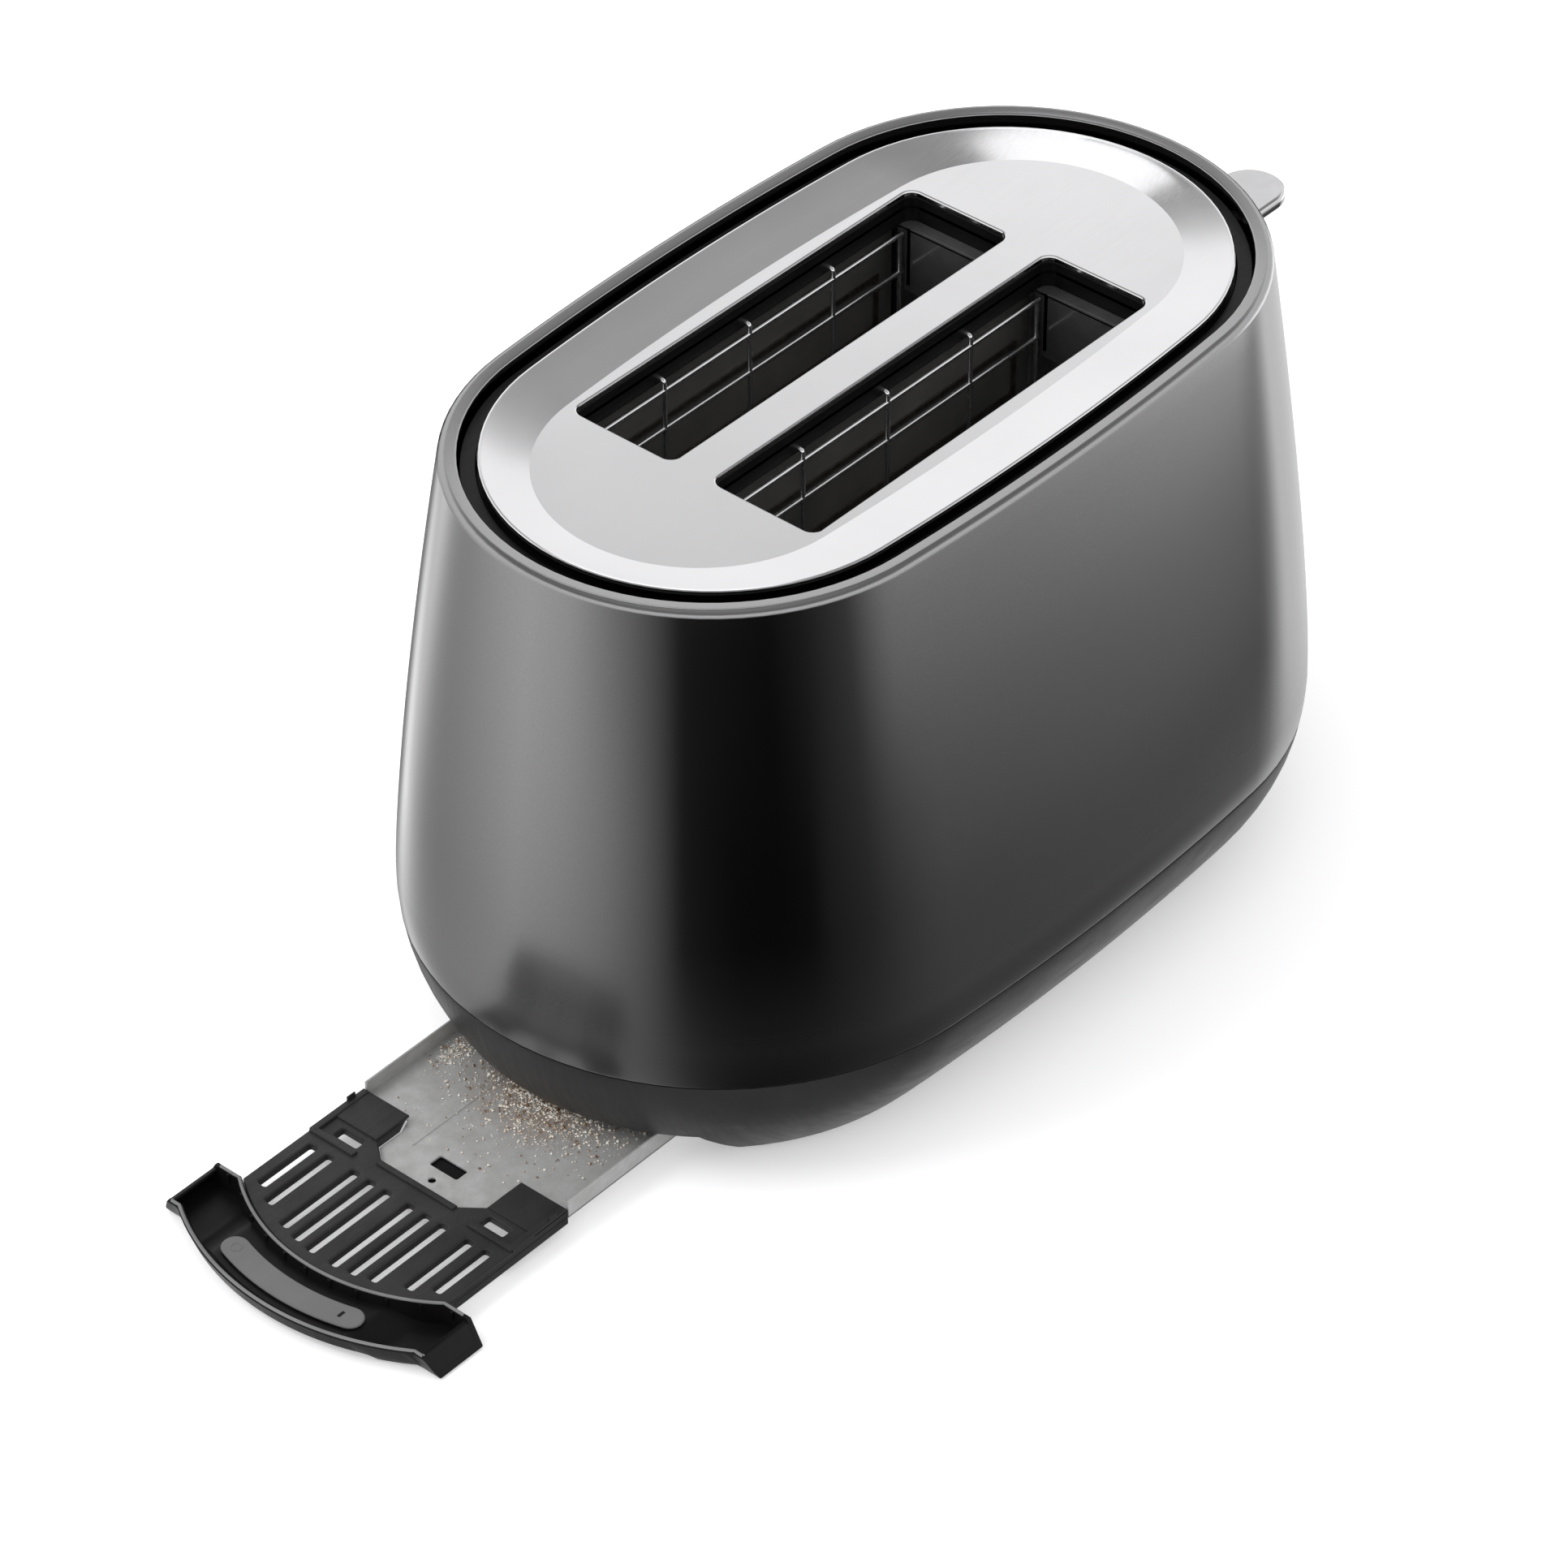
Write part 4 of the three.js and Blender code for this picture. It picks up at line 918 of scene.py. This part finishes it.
def grain(made, rng, x, y, z, size):
    """One irregular eight-sided crumb resting on the pan."""
    spin = rng.uniform(0, math.tau)
    base = len(made.points)
    for k in range(4):
        a = spin + math.tau * k / 4
        r = size * rng.uniform(0.55, 1.0)
        made.points.append((x + r * math.cos(a), y + r * math.sin(a), z + size * rng.uniform(0.3, 0.6)))
    made.points.append((x, y, z + 0.01))
    made.points.append((x, y, z + size * rng.uniform(0.9, 1.3)))
    for k in range(4):
        made.faces.append((base + (k + 1) % 4, base + k, base + 4))
        made.faces.append((base + k, base + (k + 1) % 4, base + 5))


# ---------------------------------------------------------------- chamber and carriage
def bread_guards():
    """Round-wire cages: level wires welded to uprights whose tops hook away from the bread."""
    places = {
        "guard_far_outer": (SLOT_Y + GUARD_OFFSET, 1),
        "guard_far_inner": (SLOT_Y - GUARD_OFFSET, -1),
        "guard_near_inner": (-SLOT_Y + GUARD_OFFSET, 1),
        "guard_near_outer": (-SLOT_Y - GUARD_OFFSET, -1),
    }
    half, wire = 64.5, 0.75
    bends = [math.radians(a) for a in (0, 20, 40, 60, 80, 95)]
    for name, (y, wall) in places.items():
        made = Solid()
        for z in GUARD_LEVELS:
            made.tube([(-half, y, z), (half, y, z)], wire)
        for end in SIDES:
            x = (half - 0.8) * end
            made.tube([(x, y, GUARD_PIVOT_Z), (x, y, GUARD_LEVELS[-1])], wire)
        for x in GUARD_UPRIGHTS:
            hook = [(x, y + wall * 1.7 * (1 - math.cos(a)), 172.4 + 0.9 * math.sin(a)) for a in bends]
            made.tube([(x, y, GUARD_PIVOT_Z), (x, y, 150)] + hook, 0.7)
        made.tube([(-75, y, GUARD_PIVOT_Z), (75, y, GUARD_PIVOT_Z)], 1.05)
        finish(made.object(f"{name}_wires"), name, WIRE, [name], crease=50)


def lever_knob():
    """Polished tongue with a round end and soft edges, on a neck that meets the arm."""
    r, low = 10, LEVER_TOP_Z - 3.8
    tongue = arc(LEVER_END_X, 0, r, -90, 90, 40) + [(152, r), (152, -r)]
    made = Solid().plate([tongue], low, LEVER_TOP_Z, 1.3, 6)
    made.block((149, 153), (-7, 7), (low, LEVER_TOP_Z), 0.8)
    finish(made.object("lever_tongue"), "bread_carriage", TONGUE, ["lever_knob"])


# ---------------------------------------------------------------- controls
def surface_x(y, z):
    """Where the body's lever end surface lies."""
    half_length, _, end_radius = body_oval(z)
    return half_length - end_radius + math.sqrt(end_radius**2 - y**2)


def control_fascia():
    """Gloss panel that follows the shell at the lever's end, with its lever slot and control holes."""
    levels = [36, 42, 46, 52, 60, 70, 82, 94, 106, 118, 130, 142, 154, 166, 172]
    skin = [(z, -FASCIA["proud"]) for z in levels] + [(z, FASCIA["depth"]) for z in reversed(levels)]
    panel = Solid().ring([body_loop(z, depth) for z, depth in skin]).object("control_panel")
    carve(panel, [prism_x(fascia_outline(0), *FASCIA_SPAN)], "INTERSECT")
    slot = rounded(-3, 3, LEVER_TOP_Z - LEVER_TRAVEL - 8, LEVER_TOP_Z + 3, 2.5)
    holes = [(DIAL_SHAFT_HOLE, (0, DIAL_Z), 32)]
    holes += [(BUTTON_RADIUS + 2 * GAP, (BUTTON_Y, z), 40) for z in BUTTONS.values()]
    cutters = [prism_x(slot, *FASCIA_SPAN)]
    for radius, at, steps in holes:
        cutters.append(Solid().turning([(x, radius) for x in FASCIA_SPAN], "x", at, steps))
    carve(panel, cutters)
    finish(panel, "toaster_body", GLOSS, ["control_fascia"])


def browning_dial():
    """Turned knob with a chamfered, ribbed edge and a raised pointer."""
    back = surface_x(0, DIAL_Z) + FASCIA["proud"] + 0.6
    r = DIAL_RADIUS
    front = DIAL_FRONT_X
    profile = [(121, 3), (back, 3), (back, r - 0.4), (back + 0.4, r)]
    profile += [(front - 1.6, r - 0.3), (front - 0.8, r - 0.7), (front - 0.2, r - 1.5)]
    profile += [(front, r - 2.4), (front - 0.3, r - 3.4), (front - 0.5, 5), (front - 0.5, 0.3)]
    dial = Solid().turning(profile, "x", (0, DIAL_Z), 72)
    for k in range(36):
        a = math.tau * (k + 0.5) / 36
        y, z = (r - 0.12) * math.sin(a), DIAL_Z + (r - 0.12) * math.cos(a)
        dial.tube([(x, y, z) for x in (back + 0.8, front - 1.8)], 0.3, 6)
    dial.block((front - 1.2, front + 0.8), (-0.8, 0.8), (DIAL_Z + 3, DIAL_Z + r), 0.25)
    finish(dial.object("dial_knob"), "browning_dial", BRUSHED, ["browning_dial"])


def push_buttons():
    """Round caps with a soft edge and a shallow dished face, on their stems."""
    for name, z in BUTTONS.items():
        face = surface_x(BUTTON_Y, z) + 1.8
        r = BUTTON_RADIUS
        profile = [(115.5, 1.6), (face - 6, 1.6), (face - 6, r), (face - 0.7, r), (face - 0.2, r - 0.2)]
        profile += [(face, r - 0.7), (face - 0.1, r - 1.3), (face - 0.35, r - 2.6), (face - 0.45, 0.3)]
        cap = Solid().turning(profile, "x", (BUTTON_Y, z), 40).object(f"{name}_cap")
        finish(cap, name, BRUSHED, [name])


# ---------------------------------------------------------------- carried-over CAD nodes
NODE_MATERIALS = {
    "heater_board": BOARD,
    "heating_ribbon": RIBBON,
    "bread_rack": WIRE,
    "carriage_spring": WIRE,
    "circuit_board": CIRCUIT,
    "dial_potentiometer": BLACK,
    "base_screw": PLATED,
    "chassis_plate": PLATED,
    "heat_shield": PLATED,
    "carriage_bracket": PLATED,
    "latch": PLATED,
    "lever_arm": PLATED,
    "guide_rod": PLATED,
}


def dress_nodes():
    """Gives the CAD nodes that stay visible their procedural materials."""
    for name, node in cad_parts.items():
        found = [m for prefix, m in NODE_MATERIALS.items() if name.startswith(prefix)]
        if found:
            node.data.materials.clear()
            node.data.materials.append(found[0])


# ---------------------------------------------------------------- stage
CAMERA_AT = (-1.07323, -0.92299, 1.18820)
CAMERA_AIM = (-0.03356, -0.02718, 0.08770)
CAMERA_LENS = 150.275
FLOOR_HALF = 4.0  # metres
FLOOR_GLOW = 0.33  # lifts the floor's shadows, as a lit table does


def aimed(name, data, at, aim):
    """A camera or light at one place, pointing at another."""
    obj = bpy.data.objects.new(name, data)
    obj.location = at
    obj.rotation_euler = (Vector(aim) - Vector(at)).to_track_quat("-Z", "Y").to_euler()
    bpy.context.scene.collection.objects.link(obj)
    return obj


def camera():
    """The main view: a long lens from above the tray's end."""
    data = bpy.data.cameras.new("camera")
    data.lens = CAMERA_LENS
    data.sensor_width = 36
    data.clip_end = 50
    bpy.context.scene.camera = aimed("camera", data, CAMERA_AT, CAMERA_AIM)


def area_light(name, at, aim, size, power):
    data = bpy.data.lights.new(name, "AREA")
    data.shape = "RECTANGLE"
    data.size, data.size_y = size
    data.energy = power
    aimed(name, data, at, aim).visible_glossy = False


def floor():
    mesh = bpy.data.meshes.new("floor")
    corners = [(x * FLOOR_HALF, y * FLOOR_HALF, 0) for x, y in ((-1, -1), (1, -1), (1, 1), (-1, 1))]
    mesh.from_pydata(corners, [], [(0, 1, 2, 3)])
    obj = bpy.data.objects.new("floor", mesh)
    bpy.context.scene.collection.objects.link(obj)
    n = Nodes("studio_floor")
    mesh.materials.append(n.shade({
        "Base Color": n.ramp(n.noise(3), [(0.3, tone(0.90)), (0.7, tone(0.92))]),
        "Roughness": 0.9,
        "Specular IOR Level": 0.0,
        "Emission Color": (1, 1, 1, 1),
        "Emission Strength": FLOOR_GLOW,
    }))
    obj.visible_glossy = False


# Brightness of the studio round the toaster, by compass bearing in degrees, as gloss sees it at three
# depths below the horizon.
LOW_STUDIO = [
    (0, 0.9), (36, 0.8), (42, 0.1), (60, 0.3), (69, 1.5), (76, 1.05), (82, 0.78), (88, 0.58), (95, 0.46),
    (104, 0.43), (126, 0.50), (146, 0.58), (164, 0.47), (181, 0.33), (196, 0.19), (208, 0.03),
    (227, 0.012), (242, 0.010), (257, 0.016), (274, 0.035), (291, 0.055), (310, 0.078), (316, 0.088),
    (322, 0.07), (328, 0.05), (333, 0.06), (340, 0.4), (350, 1.0),
]
MID_STUDIO = [
    (0, 1.1), (34, 0.8), (40, 0.03), (69, 0.02), (75, 0.35), (81, 1.6), (86, 1.45), (90, 1.1), (94, 0.85),
    (98, 0.70), (104, 0.63), (112, 0.66), (126, 0.80), (146, 0.98), (164, 0.80), (181, 0.56), (196, 0.26),
    (208, 0.02), (227, 0.004), (254, 0.005), (258, 0.03), (274, 0.06), (291, 0.15), (310, 0.27),
    (322, 0.37), (331, 0.31), (340, 0.33), (344, 0.5), (348, 0.8), (353, 1.2),
]
TOP_STUDIO = [
    (0, 2.0), (10, 2.0), (17, 0.03), (69, 0.02), (75, 0.3), (81, 1.0), (90, 0.85), (101, 0.74),
    (126, 0.92), (146, 0.98), (164, 0.86), (181, 0.47), (196, 0.22), (208, 0.02), (242, 0.004),
    (257, 0.03), (274, 0.10), (291, 0.50), (310, 0.62), (316, 0.85), (322, 1.2), (327, 1.5),
    (332, 2.0), (340, 2.4),
]
# Brightness above the horizon, by the sine of the height angle.
HIGH_STUDIO = [
    (0.0, 1.1), (0.36, 1.2), (0.50, 1.22), (0.545, 1.22), (0.575, 1.0), (0.60, 0.78), (0.66, 0.50),
    (0.75, 0.33), (0.85, 0.34), (1.0, 0.5),
]
# Overhead softboxes, each as its bearing and height angle and its half width, in degrees.
SOFTBOXES = [((48, 54), 8)]


def studio():
    """White surroundings. Gloss sees them as panels: bright towards the ends, dark towards the front."""
    world = bpy.data.worlds.new("studio")
    world.use_nodes = True
    bpy.context.scene.world = world
    tree = world.node_tree
    tree.nodes.clear()

    def add(kind, *inputs, **settings):
        node = tree.nodes.new(kind)
        for key, value in settings.items():
            setattr(node, key, value)
        for i, value in enumerate(inputs):
            feed(tree, value, node.inputs[i])
        return node

    def ramp(factor, stops, top):
        node = add("ShaderNodeValToRGB", factor)
        fill_ramp(node, [(at / top, (level, level, level)) for at, level in stops])
        return node.outputs["Color"]

    def blend(factor, a, b):
        node = add("ShaderNodeMix", data_type="RGBA")
        for socket, value in zip((0, 6, 7), (factor, a, b)):
            feed(tree, value, node.inputs[socket])
        return node.outputs[2]

    direction = add("ShaderNodeTexCoord").outputs["Generated"]
    split = add("ShaderNodeSeparateXYZ", direction)
    turn = add("ShaderNodeMath", split.outputs["Y"], split.outputs["X"], operation="ARCTAN2")
    lap = add("ShaderNodeMath", turn.outputs[0], 1 / math.tau, operation="MULTIPLY")
    bearing = add("ShaderNodeMath", lap.outputs[0], 1.0, operation="FLOORED_MODULO")
    height = split.outputs["Z"]
    glossy = ramp(bearing.outputs[0], LOW_STUDIO + [(360, LOW_STUDIO[0][1])], 360)
    for stops, start, end in ((MID_STUDIO, -0.57, -0.43), (TOP_STUDIO, -0.43, -0.38)):
        level = ramp(bearing.outputs[0], stops + [(360, stops[0][1])], 360)
        glossy = blend(add("ShaderNodeMapRange", height, start, end, 0.0, 1.0).outputs[0], glossy, level)
    above = add("ShaderNodeMapRange", height, -0.20, 0.12, 0.0, 1.0)
    glossy = blend(above.outputs[0], glossy, ramp(height, HIGH_STUDIO, 1))
    for centre, size in SOFTBOXES:
        glossy = blend(softbox(add, direction, centre, size), glossy, (1.5, 1.5, 1.5, 1))
    path = add("ShaderNodeLightPath")
    seen = blend(path.outputs["Is Glossy Ray"], (1.0, 1.0, 1.0, 1), glossy)
    background = add("ShaderNodeBackground", seen, 1.0)
    output = add("ShaderNodeOutputWorld")
    tree.links.new(background.outputs[0], output.inputs[0])


def softbox(add, direction, centre, size):
    """How far a direction lies inside a round panel of the studio, from 0 to 1."""
    bearing, height = (math.radians(v) for v in centre)
    flat = math.cos(height)
    aim = (flat * math.cos(bearing), flat * math.sin(bearing), math.sin(height))
    near = add("ShaderNodeVectorMath", direction, aim, operation="DOT_PRODUCT")
    edge, core = math.cos(math.radians(size * 1.1)), math.cos(math.radians(size))
    return add("ShaderNodeMapRange", near.outputs["Value"], edge, core, 0.0, 1.0).outputs[0]


# ---------------------------------------------------------------- everything
camera()
outer_shell()
base_moulding()
base_deck()
top_plate()
top_frame()
underside()
tray_handle()
grip_pad()
tray_frame()
crumb_pan()
crumbs()
bread_guards()
lever_knob()
control_fascia()
browning_dial()
push_buttons()
dress_nodes()
floor()
studio()
area_light("key", (-1.6, 1.4, 2.6), (0, 0, 0.1), (1.6, 1.6), 34)
bpy.context.scene.view_settings.view_transform = "Standard"
